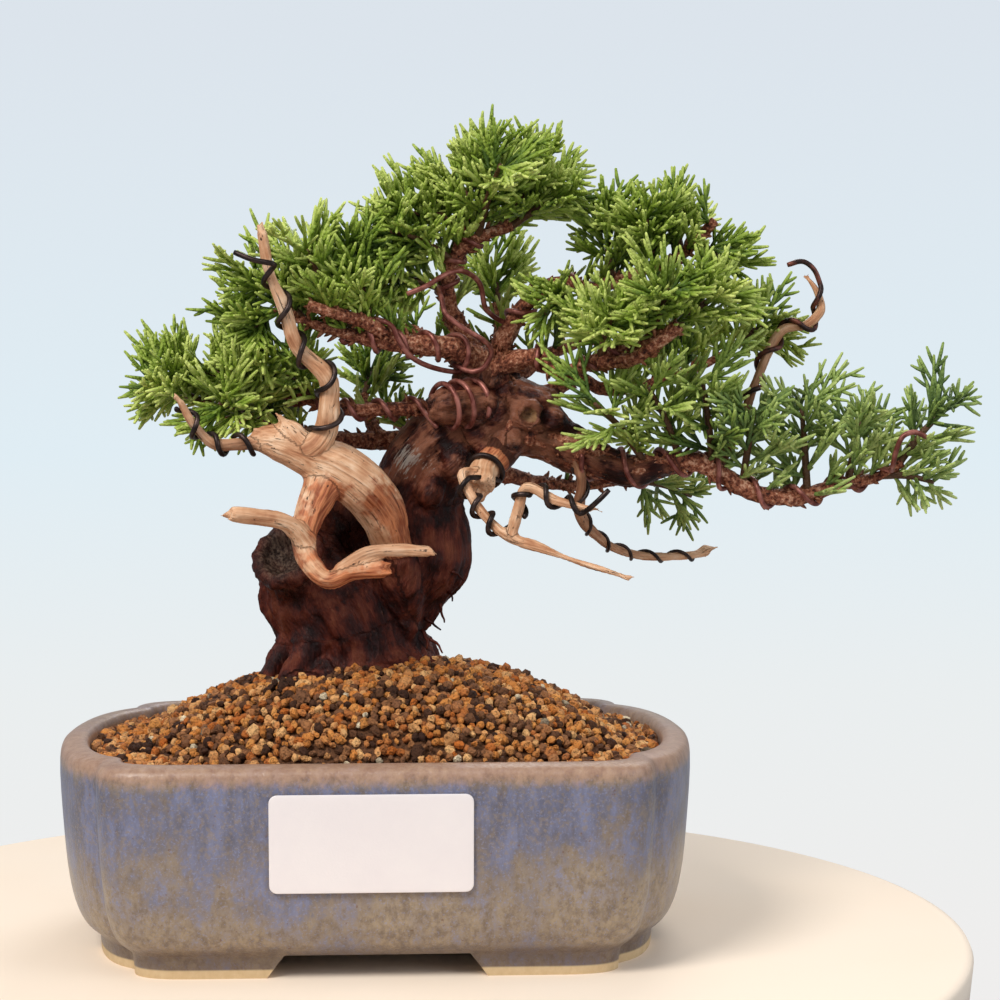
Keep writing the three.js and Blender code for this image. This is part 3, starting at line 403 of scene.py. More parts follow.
class Path:
    """A smooth curve through points (x, y, z, radius), read by the share of its length.

    Each gap between points counts by the root of its length, which keeps the curve from looping.
    """

    def __init__(self, points, steps=30):
        rows = np.array([(*point, 1.0)[:4] for point in points], float)
        spots = rows[:, :3]
        spots = np.vstack([2 * spots[0] - spots[1], spots, 2 * spots[-1] - spots[-2]])
        along = np.linspace(0, 1, steps, endpoint=False)[:, None]
        traced = []
        for index in range(len(rows) - 1):
            before, start, end, after = spots[index : index + 4]
            gap = math.dist(start, end) ** 0.5
            gap_before = math.dist(before, start) ** 0.5
            gap_after = math.dist(end, after) ** 0.5
            reach_before, reach_after = gap_before + gap, gap + gap_after
            leave = (start - before) / gap_before - (end - before) / reach_before + (end - start) / gap
            arrive = (end - start) / gap - (after - start) / reach_after + (after - end) / gap_after
            leave, arrive = leave * gap, arrive * gap
            square = -3 * start + 3 * end - 2 * leave - arrive
            cube = 2 * start - 2 * end + leave + arrive
            radii = rows[index, 3] * (1 - along) + rows[index + 1, 3] * along
            traced.append(np.hstack([start + along * (leave + along * (square + along * cube)), radii]))
        self.rows = np.vstack([*traced, rows[-1:]])
        pieces = np.linalg.norm(np.diff(self.rows[:, :3], axis=0), axis=1)
        self.run = np.concatenate([[0], np.cumsum(pieces)])
        self.length = self.run[-1]

    def at(self, shares):
        """Points and radius at shares of the length: an array of x, y, z, radius."""
        along = np.atleast_1d(shares) * self.length
        return np.stack([np.interp(along, self.run, column) for column in self.rows.T], axis=1)

    def framed(self, shares):
        """The points at the shares, with the tangent and two sides that turn with the curve."""
        fine = self.at(np.linspace(0, 1, FRAME_STEPS + 1))
        tangents = unit(np.gradient(fine[:, :3], axis=0))
        normals = carried(tangents)
        picked = np.rint(np.asarray(shares) * FRAME_STEPS).astype(int)
        return self.at(shares), tangents[picked], normals[picked], np.cross(tangents, normals)[picked]


def unit(vectors):
    """The vectors with length 1."""
    return vectors / np.maximum(np.linalg.norm(vectors, axis=-1, keepdims=True), 1e-9)


def carried(tangents):
    """A side for every tangent, carried along the line without twist."""
    axis = np.eye(3)[2 - np.argmin(np.abs(tangents[0])[::-1])]
    side = unit(np.cross(tangents[0], unit(np.cross(tangents[0], axis))))
    sides = []
    for tangent in tangents:
        side = unit(side - tangent * side.dot(tangent))
        sides.append(side)
    return np.array(sides)


def turned(vector, axis, angle):
    """The vector turned round a unit axis."""
    across = np.cross(axis, vector)
    along = axis * np.dot(axis, vector)
    return vector * math.cos(angle) + across * math.sin(angle) + along * (1 - math.cos(angle))


class Shell:
    """Gathers the points and faces of a piece, with the numbers that its finish reads at each point."""

    def __init__(self):
        self.points, self.faces, self.marks, self.count = [], [], {}, 0

    def add(self, points, faces, **marks):
        points = np.asarray(points, float)
        for mark, value in marks.items():
            value = np.asarray(value, float)
            if value.ndim < 1 or len(value) != len(points):
                value = np.broadcast_to(value, (len(points), *value.shape))
            self.marks.setdefault(mark, []).append(value)
        for group in faces:
            self.faces += (np.asarray(group) + self.count).tolist()
        self.points.append(points)
        self.count += len(points)

    def make(self, name, finish=None, scale=MM, middle=POT_MIDDLE, faceted=False):
        """The piece itself; a helper that only shapes another is left in millimetres and unfinished."""
        mesh = bpy.data.meshes.new(name)
        points = (np.concatenate(self.points) + middle) * scale
        mesh.from_pydata(points.tolist(), [], self.faces, shade_flat=faceted)
        for mark, values in self.marks.items():
            values = np.concatenate(values)
            kind, field = ("FLOAT_VECTOR", "vector") if values.ndim > 1 else ("FLOAT", "value")
            stored = mesh.attributes.new(mark, kind, "POINT")
            stored.data.foreach_set(field, np.ascontiguousarray(values, dtype=np.float32).ravel())
        piece = bpy.data.objects.new(name, mesh)
        bpy.context.scene.collection.objects.link(piece)
        if finish:
            mesh.materials.append(finish.material)
        return piece


TUBE_FACES = {}


def tube_faces(rings, sides):
    """Quads between the rings, and triangles from the first and last ring to a point at each end."""
    if (rings, sides) not in TUBE_FACES:
        grid = np.arange(rings * sides).reshape(rings, sides)
        onward = np.roll(grid, -1, axis=1)
        quads = np.stack([grid[:-1], onward[:-1], onward[1:], grid[1:]], axis=-1).reshape(-1, 4)
        start, end = rings * sides, rings * sides + 1
        first = np.stack([np.full(sides, start), onward[0], grid[0]], axis=-1)
        last = np.stack([np.full(sides, end), grid[-1], onward[-1]], axis=-1)
        TUBE_FACES[rings, sides] = [quads, np.vstack([first, last])]
    return TUBE_FACES[rings, sides]


def tube(shell, centres, radii, sides=6, ends=0.0, normals=None, swell=None, **marks):
    """A closed round tube along the centres; swell scales each point's radius, ends is each tip's height."""
    centres = np.asarray(centres, float)
    tangents = unit(np.gradient(centres, axis=0))
    normals = carried(tangents) if normals is None else normals
    across = np.cross(tangents, normals)
    angles = np.arange(sides) * 2 * math.pi / sides
    spokes = normals[:, None] * np.cos(angles)[:, None] + across[:, None] * np.sin(angles)[:, None]
    reach = np.asarray(radii, float)[:, None] * (1 if swell is None else swell)
    rings = centres[:, None] + spokes * reach[..., None]
    tips = [centres[0] - tangents[0] * ends, centres[-1] + tangents[-1] * ends]
    points = np.vstack([rings.reshape(-1, 3), tips])
    spread = {}
    for mark, value in marks.items():
        value = np.asarray(value, float)
        if value.ndim and len(value) == len(centres):
            value = np.concatenate([np.repeat(value, sides, axis=0), value[:1], value[-1:]])
        spread[mark] = value
    shell.add(points, tube_faces(len(centres), sides), **spread)


def settle(piece, slot, *nodes):
    """Puts a piece on the body, for the nodes that it stands for."""
    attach(piece, "root")
    if nodes:
        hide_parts(*nodes)


PATHS = {name: Path(points) for name, points in LIMBS.items()}


# Finishes
def make_bark():
    finish = Finish("wet_bark")
    grain = finish.stored("grain", "Vector")
    place = finish.place()
    plates = finish.noise(grain * (1, 1, 0.3), 3.4, 5, 0.6)
    fine = finish.noise(grain * (1, 1, 0.3), 0.7, 4, 0.65)
    mottle = finish.noise(place, 7, 3)
    upper = finish.rise(finish.part(place, 2), 112, 132)
    colour = finish.ramp(plates * 0.38 + fine * 0.2 + mottle * 0.42, [
        (0.38, paint("#170504")), (0.46, paint("#34100a")),
        (0.53, paint("#552114")), (0.66, paint("#7f452e")),
    ])
    dry = upper * finish.rise(mottle + fine * 0.3, 0.53, 0.74)
    colour = finish.mix(dry * 0.75, colour, paint("#966249"))
    colour = finish.mix(finish.rise(mottle, 0.56, 0.68) * 0.35, colour, paint("#552517"))
    colour = finish.mix(finish.rise(fine, 0.58, 0.74) * 0.35, colour, paint("#7d5240"))
    outer = finish.rise(finish.part(place, 0), 38, 54)
    smooth_bark = finish.mix(finish.rise(fine, 0.36, 0.64), paint("#552a1c"), paint("#a2664a"))
    colour = finish.mix(outer * 0.82, colour, smooth_bark)
    callus = finish.mix(finish.rise(fine, 0.4, 0.65), paint("#2a1d17"), paint("#6b5a4c"))
    scar = finish.rise(finish.stored("scar") + mottle * 0.4, 0.3, 0.75)
    colour = finish.mix(scar * 0.8, colour, callus)
    knot = finish.rise(finish.stored("knot") + fine * 0.2, 0.3, 0.55)
    colour = finish.mix(knot * 0.9, colour, finish.mix(fine, paint("#5b3a26"), paint("#b98f63")))
    crust = finish.rise(finish.stored("crust") * 0.3 + fine * 0.9, 0.68, 0.76)
    colour = finish.mix(crust * 0.75, colour, paint("#a59c92"))
    # Painted shade: the bark in the pocket behind the dead limb is darkened almost to black
    colour = finish.mix(finish.stored("dim") * 0.85, colour, paint("#0c0403"))
    height = plates * 0.6 + fine * 0.4
    return finish.coat(
        base_color=colour, roughness=finish.rise(plates, 0.3, 0.7) * 0.35 + 0.32 - upper * 0.1,
        specular_ior_level=0.2, normal=finish.bump(height, 1.6),
    )


def make_dead():
    finish = Finish("bleached_wood")
    grain = finish.stored("grain", "Vector")
    place = finish.place()
    streaks = finish.noise(grain * (1, 1, 0.07), 0.8, 4, 0.55)
    broad = finish.noise(place, 6, 3)
    checks = finish.noise(grain * (1, 1, 0.05), 0.45, 2)
    cracks = finish.rise(checks, 0.62, 0.68) * finish.rise(broad, 0.45, 0.6)
    specks = finish.rise(finish.noise(grain * (1, 1, 0.5), 0.9, 3), 0.69, 0.73)
    colour = finish.ramp(streaks * 0.45 + broad * 0.55, [
        (0.32, paint("#9a5f3e")), (0.43, paint("#c68d66")),
        (0.54, paint("#e2b18a")), (0.66, paint("#f4d0ae")),
    ])
    grey = finish.rise(finish.stored("grey") + broad * 0.3, 0.5, 0.9)
    weather = streaks * 0.6 + finish.rise(broad, 0.4, 0.6) * 0.4
    colour = finish.mix(grey * 0.8, colour, finish.mix(weather, paint("#3a1a10"), paint("#ad7350")))
    patches = finish.noise(place, 2.6, 3)
    # Red stain, deepened as painted shade on the undersides and in the seams where the red mark says so
    red_stain_and_shade = finish.rise(finish.stored("red") * 0.7 + patches * 0.8 + streaks * 0.2, 0.7, 0.95)
    red_stain_and_shade_colour = finish.mix(finish.rise(streaks, 0.35, 0.65), paint("#84310f"), paint("#cf7c4c"))
    colour = finish.mix(red_stain_and_shade * 0.85, colour, red_stain_and_shade_colour)
    skin = finish.rise(finish.stored("skin") + streaks * 0.5, 0.5, 0.85)
    colour = finish.mix(skin * 0.92, colour, paint("#2e130c"))
    colour = finish.mix(cracks * 0.7, colour, paint("#4a2415"))
    colour = finish.mix(specks * 0.85, colour, paint("#22140e"))
    height = streaks * 0.8 - cracks * 0.6 - specks * 0.5
    return finish.coat(
        base_color=colour, roughness=0.6, specular_ior_level=0.3, normal=finish.bump(height, 0.7),
    )


def make_branch_bark():
    finish = Finish("branch_bark")
    flakes = finish.noise(finish.place(), 1.1, 4, 0.65)
    broad = finish.noise(finish.place(), 6, 2)
    colour = finish.ramp(flakes * 0.75 + broad * 0.25, [
        (0.36, paint("#2b110b")), (0.45, paint("#6d3725")),
        (0.54, paint("#a9674a")), (0.64, paint("#dda98a")),
    ])
    colour = finish.mix(finish.stored("scale") * 0.35, colour, paint("#8a5734"))
    return finish.coat(
        base_color=colour, roughness=0.62, specular_ior_level=0.25, normal=finish.bump(flakes, 1.0),
    )


def make_foliage():
    finish = Finish("scaly_foliage")
    tip, tone, hue = finish.stored("tip"), finish.stored("tone"), finish.stored("hue")
    deep = finish.stored("deep")
    place = finish.place()
    broad = finish.noise(place, 22, 2)
    scales = finish.cells(place, 0.95) * 0.7 + finish.noise(place, 0.7, 2) * 0.4
    # The green's lightness: lighter towards the tips, both for fresh growth and as painted shade towards the
    # bases, with tone at random
    light = tip * 0.36 + finish.rise(tip, 0.6, 1.0) * 0.03 + tone * 0.24 + broad * 0.62 + scales * 0.15
    # Painted shade: darker where deep is high, inside the fronds and towards the twigs' bases
    light = light - finish.rise(deep, 0.3, 1.0) * 0.18 - 0.15
    colour = finish.ramp(light, [
        (0.1, paint("#1f2f08")), (0.3, paint("#4b651a")), (0.52, paint("#8ba238")), (0.86, paint("#d3dd7a")),
    ])
    colour = finish.mix(hue * 0.3, colour, finish.mix(light, paint("#3b5a34"), paint("#bccf9c")))
    # Where deep passes 1.2 the cord is a stem, which is brown wood
    colour = finish.mix(finish.rise(deep, 1.2, 1.8), colour, paint("#5a3d26"))
    return finish.coat(
        base_color=colour, roughness=0.5, specular_ior_level=0.3, normal=finish.bump(1 - scales, 0.55),
    )


def make_wire(name, low, high, metallic, roughness):
    finish = Finish(name)
    wear = finish.noise(finish.place(), 3.0, 4)
    fine = finish.noise(finish.place(), 0.35, 3)
    colour = finish.mix(finish.rise(wear, 0.4, 0.65), paint(low), paint(high))
    rough = fine * 0.25 + roughness
    return finish.coat(
        base_color=colour, metallic=metallic, roughness=rough, normal=finish.bump(fine, 0.03),
    )


def make_grit():
    finish = Finish("mixed_grit")
    kind, tone = finish.stored("kind"), finish.stored("tone")
    colour = finish.ramp(kind, [
        (0.0, paint("#e09a52")), (0.2, paint("#cd7d38")), (0.34, paint("#f0b97a")),
        (0.48, paint("#bf6826")), (0.6, paint("#ac7448")), (0.74, paint("#84583a")),
        (0.88, paint("#51321f")), (0.975, paint("#3a2116")), (0.99, paint("#f0dcb8")),
    ])
    pores = finish.noise(finish.place(), 0.8, 4, 0.65)
    colour = finish.mix(finish.rise(pores, 0.34, 0.54), colour * 0.36, colour * 1.12)
    colour = finish.mix(tone * 0.4, colour, colour * 0.5)
    return finish.coat(
        base_color=colour, roughness=0.75, specular_ior_level=0.25, normal=finish.bump(pores, 0.8),
    )


def make_glaze():
    finish = Finish("mottled_glaze")
    place = finish.place()
    height = finish.part(place, 2)
    streaks = finish.noise(place * (1, 1, 0.35), 4.5, 5, 0.65)
    broad = finish.noise(place * (1, 1, 1.3) + (5, 0, 0), 17, 3)
    dabs = finish.noise(place * (1, 1, 0.7), 2.3, 5, 0.7)
    flecks = finish.noise(place + (0, 9, 0), 1.1, 3, 0.6)
    speck = finish.noise(place, 0.6, 3, 0.7)
    blue = finish.mix(finish.rise(streaks, 0.35, 0.68), paint("#56596e"), paint("#747b9c"))
    tan = finish.mix(finish.rise(dabs, 0.32, 0.68), paint("#78685a"), paint("#a8957b"))
    across = finish.part(place, 0)
    side = finish.rise(across, -70, 40)
    band = finish.rise(height + side * -8, 12, 42) * (1 - finish.rise(height, 47, 52.5))
    cover = finish.rise(dabs * 0.55 + streaks * 0.45 + broad * 0.45 + band * 0.24, 0.68, 0.93)
    colour = finish.mix(cover * 0.85, tan, blue)
    clay = finish.mix(dabs, paint("#76665b"), paint("#a08e78"))
    colour = finish.mix(finish.rise(flecks, 0.47, 0.64) * 0.55, colour, clay)
    colour = finish.mix(finish.rise(speck, 0.54, 0.66) * 0.42, colour, paint("#8b93b6"))
    # Painted light: warm pale patches on the right of the pot, where the light falls on it
    right_side_painted_light = finish.rise(across, 25, 85) * finish.rise(streaks, 0.3, 0.7)
    colour = finish.mix(right_side_painted_light * 0.5, colour, paint("#bcab97"))
    freckles = finish.rise(finish.noise(place, 1.4, 2), 0.7, 0.76)
    colour = finish.mix(freckles * 0.5, colour, paint("#6b3f2c"))
    rim = finish.rise(height + dabs * 6, 51.5, 55.5)
    rim = rim * (0.8 - finish.rise(finish.part(place, 1), -20, 30) * 0.4)
    colour = finish.mix(rim, colour, finish.mix(dabs, paint("#7a4a38"), paint("#d0ac90")))
    line = finish.rise(height, 10.0, 6.4)
    colour = finish.mix(line * 0.55, colour, paint("#4b3a36"))
    foot = finish.rise(height, 2.5, 1.9)
    colour = finish.mix(foot, colour, finish.mix(dabs, paint("#bd9f74"), paint("#dcc6a0")))
    rough = 0.26 + foot * 0.5 + streaks * 0.14
    return finish.coat(
        base_color=colour, roughness=rough, specular_ior_level=0.45,
        normal=finish.bump(dabs * 0.5 + speck * 0.12, 0.5),
    )


def make_paper():
    finish = Finish("label_paper")
    fibres = finish.noise(finish.place(), 0.5, 4, 0.6)
    broad = finish.noise(finish.place(), 9, 3)
    colour = finish.mix(broad, paint("#f1e9e7"), paint("#eae1e1"))
    return finish.coat(base_color=colour, roughness=0.55, normal=finish.bump(fibres, 0.04))


def make_mesh_screen():
    finish = Finish("drain_mesh")
    weave = finish.noise(finish.place(), 0.6, 3)
    colour = finish.mix(weave, paint("#1d1d1e"), paint("#3c3b3a"))
    return finish.coat(base_color=colour, roughness=0.6, normal=finish.bump(weave, 0.1))


bark, dead, branch_bark, foliage = make_bark(), make_dead(), make_branch_bark(), make_foliage()
dark_wire = make_wire("dark_annealed_wire", "#241b19", "#4a3a35", 0.7, 0.3)
copper_wire = make_wire("coated_copper_wire", "#6d352b", "#a5675a", 0.4, 0.32)
worn_wire = make_wire("worn_brown_wire", "#2a1915", "#7d4638", 0.5, 0.32)
grit, glaze, paper, drain_mesh = make_grit(), make_glaze(), make_paper(), make_mesh_screen()
for screen in ("drain_screen_left", "drain_screen_right"):
    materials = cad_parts[screen].data.materials
    materials.clear()
    materials.append(drain_mesh.material)


# Foliage: fronds of short scaly cords along a slim stem
UP = np.array([0.0, 0.0, 1.0])
# The angle between one frond and the next round the stem
GOLDEN_TURN = 2.39996
# The spaces between a cord's rings, a frond's twigs, and the fronds that grow straight out of a branch
CORD_RING_STEP, TWIG_STEP, SHOOT_STEP = 2.4, 2.35, 4.2
# The length from which a twig forks to one side, and to both
SHORTEST_FORKED, SHORTEST_DOUBLE = 5.5, 7.5
FRONDS_IN_SPRAY, FRONDS_IN_SPARSE_SPRAY = 15, 10

# The stretch of each branch that carries fronds of its own, as shares of its length
CLOTHED = {
    "leftMiddle": (0.62, 1), "leftLow": (0.6, 1), "upperLeft": (0.42, 1), "apex": (0.34, 1),
    "leader": (0.2, 1), "upperRight": (0.42, 1), "rightMiddle": (0.45, 1), "rightRear": (0.45, 1),
    "rightMain": (0.5, 1), "backLow": (0.6, 1), "backLeft": (0.4, 1), "backCentre": (0.35, 1),
    "backRight": (0.35, 1), "backUpperLeft": (0.35, 1), "backBottomLeft": (0.35, 1),
}


def cord(shell, start, direction, length, radius, bend, sides=5, **marks):
    """One blunt cord that curves towards bend."""
    rings = max(4, round(length / CORD_RING_STEP) + 2)
    shares = np.linspace(0, 1, rings)
    line = start + direction * length * shares[:, None] + bend * length * shares[:, None] ** 2
    taper = np.interp(shares, [0, 0.35, 0.8, 1], [0.85, 1, 0.95, 0.62])
    tube(shell, line, radius * taper, sides=sides, ends=radius * 0.6, tip=shares, **marks)
    return line


def frond(shell, chance, start, direction, length, hue):
    """A main cord with a few long side cords in a loose fan, and short cords on those."""
    tone = chance.random()
    facing = unit(np.cross(direction, UP + np.array([chance.uniform(-1, 1), chance.uniform(-1, 1), 0.0])))
    facing = turned(facing, direction, chance.uniform(-0.8, 0.8))
    bend = UP * chance.uniform(-0.06, 0.14) + facing * chance.uniform(-0.14, 0.14)
    marks = {"tone": tone, "hue": hue}
    line = cord(shell, start, direction, length, chance.uniform(0.58, 0.66), bend, **marks, deep=0.2)
    count = max(4, round(length / TWIG_STEP))
    for index in range(count):
        share = 0.1 + 0.74 * (index + chance.uniform(-0.25, 0.25)) / (count - 1)
        spot = share * (len(line) - 1)
        ring = int(spot)
        root = line[ring] + (line[min(ring + 1, len(line) - 1)] - line[ring]) * (spot % 1)
        way = 1 if index % 2 else -1
        spread = math.radians(chance.uniform(24, 40))
        side = turned(facing * way, direction, chance.uniform(-0.6, 0.6))
        heading = unit(direction * math.cos(spread) + side * math.sin(spread) + UP * 0.1)
        reach = length * (0.78 - 0.5 * share) * chance.uniform(0.7, 1.2)
        lift = direction * 0.22 + UP * 0.05
        width = chance.uniform(0.5, 0.58)
        # deep grows towards a twig's base, where the finish paints shade
        twig = cord(shell, root, heading, reach, width, lift, **marks, deep=0.8 * (1 - share))
        if reach < SHORTEST_FORKED:
            continue
        for turn in (-1, 1) if reach > SHORTEST_DOUBLE else (way,):
            spread = math.radians(chance.uniform(25, 40))
            aside = unit(np.cross(np.cross(direction, facing), heading) * turn + facing * 0.2 * turn)
            outward = unit(heading * math.cos(spread) + aside * math.sin(spread))
            fork = twig[max(1, round((0.36 + 0.12 * turn) * (len(twig) - 1)))]
            short = reach * chance.uniform(0.4, 0.6)
            cord(shell, fork, outward, short, 0.5, heading * 0.2, 4, **marks, deep=0.5)


def greyness(spot, top):
    """How far the foliage at a spot is the cooler green of the low right, from 0 to 1."""
    return np.clip((spot[0] - 40) / 60, 0, 1) * np.clip((top - spot[2]) / 25, 0, 1)


def spray(name, limb, at, tip, reach):
    """A stem from its limb to its tip, and fronds all round it."""
    chance = Random(f"{SEED} {name}")
    shell = Shell()
    host = PATHS[limb].at(at)[0]
    start, end = host[:3], np.array(tip, float)
    middle = (start + end) / 2 + UP * 0.06 * math.dist(start, end)
    stem = Path([(*start, 1.1), (*middle, 0.95), (*end, 0.5)])
    shares = np.linspace(0, 1, 14)
    centres, tangents, normals, across = stem.framed(shares)
    tube(shell, centres[:, :3], centres[:, 3], sides=7, tip=0.0, tone=0.0, hue=0.0, deep=2.0)
    bare = min(0.6, (host[3] + 1.5) / stem.length)
    sparse = end[0] > 50 and end[2] < 150
    count, reach = (FRONDS_IN_SPARSE_SPRAY, reach * 1.12) if sparse else (FRONDS_IN_SPRAY, reach)
    hue = greyness(end, 165)
    for index in range(count):
        share = bare + (1 - bare) * (index + 0.5) / count
        place, tangent, normal, side = (row[0] for row in stem.framed([share]))
        angle = GOLDEN_TURN * index + chance.uniform(-0.4, 0.4)
        outward = normal * math.cos(angle) + side * math.sin(angle)
        along = 0.35 + 0.6 * chance.random() + 0.5 * max(0, share - 0.75)
        direction = unit(outward + tangent * along + UP * 0.12)
        frond(shell, chance, place[:3], direction, reach * chance.uniform(0.75, 1.08), hue)
    settle(shell.make("sprays_" + name, foliage), "foliage", "foliage_" + name)


def branch_shoots():
    """Fronds straight out of the living branches, which clothe them between the sprays."""
    chance = Random(SEED + 3)
    shell = Shell()
    for limb, (first, last) in CLOTHED.items():
        path = PATHS[limb]
        for share in np.arange(first, last, SHOOT_STEP / path.length):
            place, tangent, normal, side = (row[0] for row in path.framed([share]))
            angle = chance.uniform(0, 2 * math.pi)
            outward = normal * math.cos(angle) + side * math.sin(angle)
            if outward[2] < -0.35:
                outward = -outward
            direction = unit(outward + tangent * chance.uniform(0.2, 0.8) + UP * 0.35)
            frond(shell, chance, place[:3], direction, chance.uniform(9, 13), greyness(place, 150))
    settle(shell.make("branch_shoots", foliage), "foliage")


for name, details in SPRAYS.items():
    spray(name, *details)
branch_shoots()


# Wires
WIRE_RADIUS = 0.7
THIN_WIRE_RADIUS = 0.5
WIRE_GAP = 0.05
WINDING_STEPS = 18
# For each kind of wire: its finish, its slot and its radius
WIRE_KINDS = {
    "dark": (dark_wire, "dark_wire", WIRE_RADIUS),
    "thin": (dark_wire, "copper_wire", THIN_WIRE_RADIUS),
    "worn": (worn_wire, "dark_wire", WIRE_RADIUS),
    "copper": (copper_wire, "copper_wire", WIRE_RADIUS),
}


def wound_line(limb, start, end, turns, phase, gap=WIRE_GAP):
    """Points of a winding along a stretch of a limb, clear of the limb by the gap."""
    shares = np.linspace(start, end, max(3, round(turns * WINDING_STEPS)))
    places, _, normals, across = PATHS[limb].framed(shares)
    angles = phase + 2 * math.pi * turns * np.linspace(0, 1, len(shares))
    reach = (places[:, 3] + gap + WIRE_RADIUS)[:, None]
    return places[:, :3] + reach * (normals * np.cos(angles)[:, None] + across * np.sin(angles)[:, None])


def wire(name, kind, windings, tail, lead=()):
    """One wire as a round tube: what leads in, its windings and its free end."""
    finish, slot, radius = WIRE_KINDS[kind]
    wound = [spot for winding in windings for spot in wound_line(*winding)]
    line = Path([*lead, *wound, *tail], steps=4)
    centres = line.at(np.linspace(0, 1, max(8, round(line.length / 0.9))))[:, :3]
    radii = np.full(len(centres), radius)
    radii[[0, -1]] *= 0.86
    shell = Shell()
    tube(shell, centres, radii, sides=10, ends=0.05)
    settle(shell.make("wound_" + name, finish), slot, name)


for name, details in WIRES.items():
    wire(name, *details)


# Wood: overlapping limbs become one skin, which is then worked along its grain
DEAD_LIMBS = [
    "deadLimb", "knuckle", "strut", "stubLeft", "stubRight", "tallJin", "leftJin", "frontJin",
    "frontTwig", "frontFork", "hangingJin", "rightJin",
]
TRUNK_LIMBS = [
    "stump", "rearTrunk", "innerWall", "backWeb", "crown", "rootLeft", "rootFrontLeft",
    "rootFrontRight", "rootRight", "rootBack", "wiredStub",
]
LIVING_LIMBS = [name for name in LIMBS if name not in DEAD_LIMBS + TRUNK_LIMBS]

# The old scar on the stump, and the cut knot high on the trunk
SCAR_CENTRE = np.array([-23.0, -15.0, 102.0])
SCAR_FACING = unit(np.array([-0.35, -0.72, 0.6]))
SCAR_RADIUS = 7.6
SCAR_LIP = 2.2
SCAR_BOWL_RADIUS = SCAR_RADIUS - 1.2
KNOT_CENTRE = np.array([39.8, -14.6, 138.6])
KNOT_FACING = unit(np.array([0.1, -0.97, 0.1]))
KNOT_HALF_SIZES = (2.5, 3.3)
KNOT_LIP = 0.9
KNOT_NECK = [(38, -3, 138, 8), (39.4, -9, 138.2, 4.8), (39.8, -12.2, 138.5, 3.2)]
# Swellings of the bark (x, y, z, radius), roots that flare from the stump, and the heel left in the cleft
BURLS = [
    (31, -9.5, 140, 4.2), (26, -8, 134, 4.2), (35, -9.5, 131, 3.6), (47, -8.5, 137, 3.2),
    (20, -6.5, 127, 4.2), (29, -10.5, 128, 3), (14, -6, 119, 3.6), (34, -7, 144, 3.4), (24, -4, 146, 3.6),
]
FLARES = [
    [(-15, -3, 90, 8), (-19.5, -4, 82, 5.6), (-24, -5, 75, 4), (-29, -6, 68, 3)],
    [(-15, -8, 84, 6), (-19, -12, 76, 4), (-23, -15, 69, 2.8)],
]
HEEL = [(5, -9, 102, 5.2), (6, -6, 95, 5.8), (6, 0, 87, 6.4), (4, 4, 78, 7)]
# Where the bark wears a pale crust, and where the pocket's shade is painted on it: a centre and a reach
CRUST = ((8, -6, 127), (13, 14, 9))
SHADE = ((-5, -12, 107), (13, 14, 13))
ROOTLET_SPOTS = [
    (18, 2, 92), (17, 0, 88), (13, 1, 84), (12, 0, 81), (20, -4, 97), (14, -3, 79), (-24, -4, 70),
    (-22, -10, 72), (14, 14, 86), (-16, 14, 78), (2, 20, 76),
]
TRUNK_VOXEL, DEADWOOD_VOXEL = 0.72, 0.48
# A loose bit of skin with fewer points than this is a crumb
SMALLEST_BODY = 400
# How far a joint's seam reaches, and how far apart the limbs' grains are set, so that no two look alike
SEAM_REACH, LIMB_SHIFT = 1.6, 37.0


def limb_tube(shell, path, sides, pitch=1.2):
    """A tube along a limb's path, as thick as the path says."""
    shares = np.linspace(0, 1, max(4, round(path.length / pitch)))
    centres, _, normals, _ = path.framed(shares)
    radii = centres[:, 3]
    tube(shell, centres[:, :3], radii, sides, ends=0.35 * radii[-1], normals=normals)


def oval(centre, facing, half_width, half_height, count=40):
    """Points round an oval, with the first one again at the end."""
    across = unit(np.cross(UP, facing))
    upward = np.cross(facing, across)
    turns = np.linspace(0, 2 * math.pi, count)[:, None]
    return centre + (half_width * np.cos(turns) * across + half_height * np.sin(turns) * upward)


def ball(shell, centre, radii, rings=16):
    """A closed round body between two poles."""
    heights = np.cos(np.linspace(0.12, math.pi - 0.12, rings))
    line = np.array(centre) + UP * (heights * radii[2])[:, None]
    swell = np.sqrt(1 - heights**2)
    normals = np.tile([1.0, 0.0, 0.0], (rings, 1))
    tube(shell, line, swell * radii[0], 24, ends=radii[2] * 0.005, normals=normals)


def skinned(name, shell, voxel, cuts=None, kept=None, smooth=3):
    """One closed skin of small even faces from overlapping closed shells, less the cuts, with kept whole."""
    body = shell.make(name, scale=1, middle=0)
    skin = body.modifiers.new("skin", "REMESH")
    skin.voxel_size = voxel
    helpers = [body]
    if cuts:
        for label, part, operation in (("cuts", cuts, "DIFFERENCE"), ("kept", kept, "UNION")):
            tool = part.make(f"{name}_{label}", scale=1, middle=0)
            tool.modifiers.new("skin", "REMESH").voxel_size = voxel
            helpers.append(tool)
            carve = body.modifiers.new(label, "BOOLEAN")
            carve.operation, carve.solver, carve.object = operation, "MANIFOLD", tool
        body.modifiers.new("even", "REMESH").voxel_size = voxel
    soften = body.modifiers.new("soften", "SMOOTH")
    soften.factor, soften.iterations = 0.5, smooth
    return without_crumbs(*points_and_faces(helpers))


def points_and_faces(helpers):
    """The evaluated mesh of the first helper, as arrays; the helpers are then gone."""
    seen = helpers[0].evaluated_get(bpy.context.evaluated_depsgraph_get())
    mesh = bpy.data.meshes.new_from_object(seen)
    points, normals = (np.empty(3 * len(mesh.vertices)) for _ in range(2))
    mesh.vertices.foreach_get("co", points)
    mesh.vertices.foreach_get("normal", normals)
    faces = [list(face.vertices) for face in mesh.polygons]
    for helper in helpers:
        bpy.data.objects.remove(helper)
    return points.reshape(-1, 3), normals.reshape(-1, 3), faces


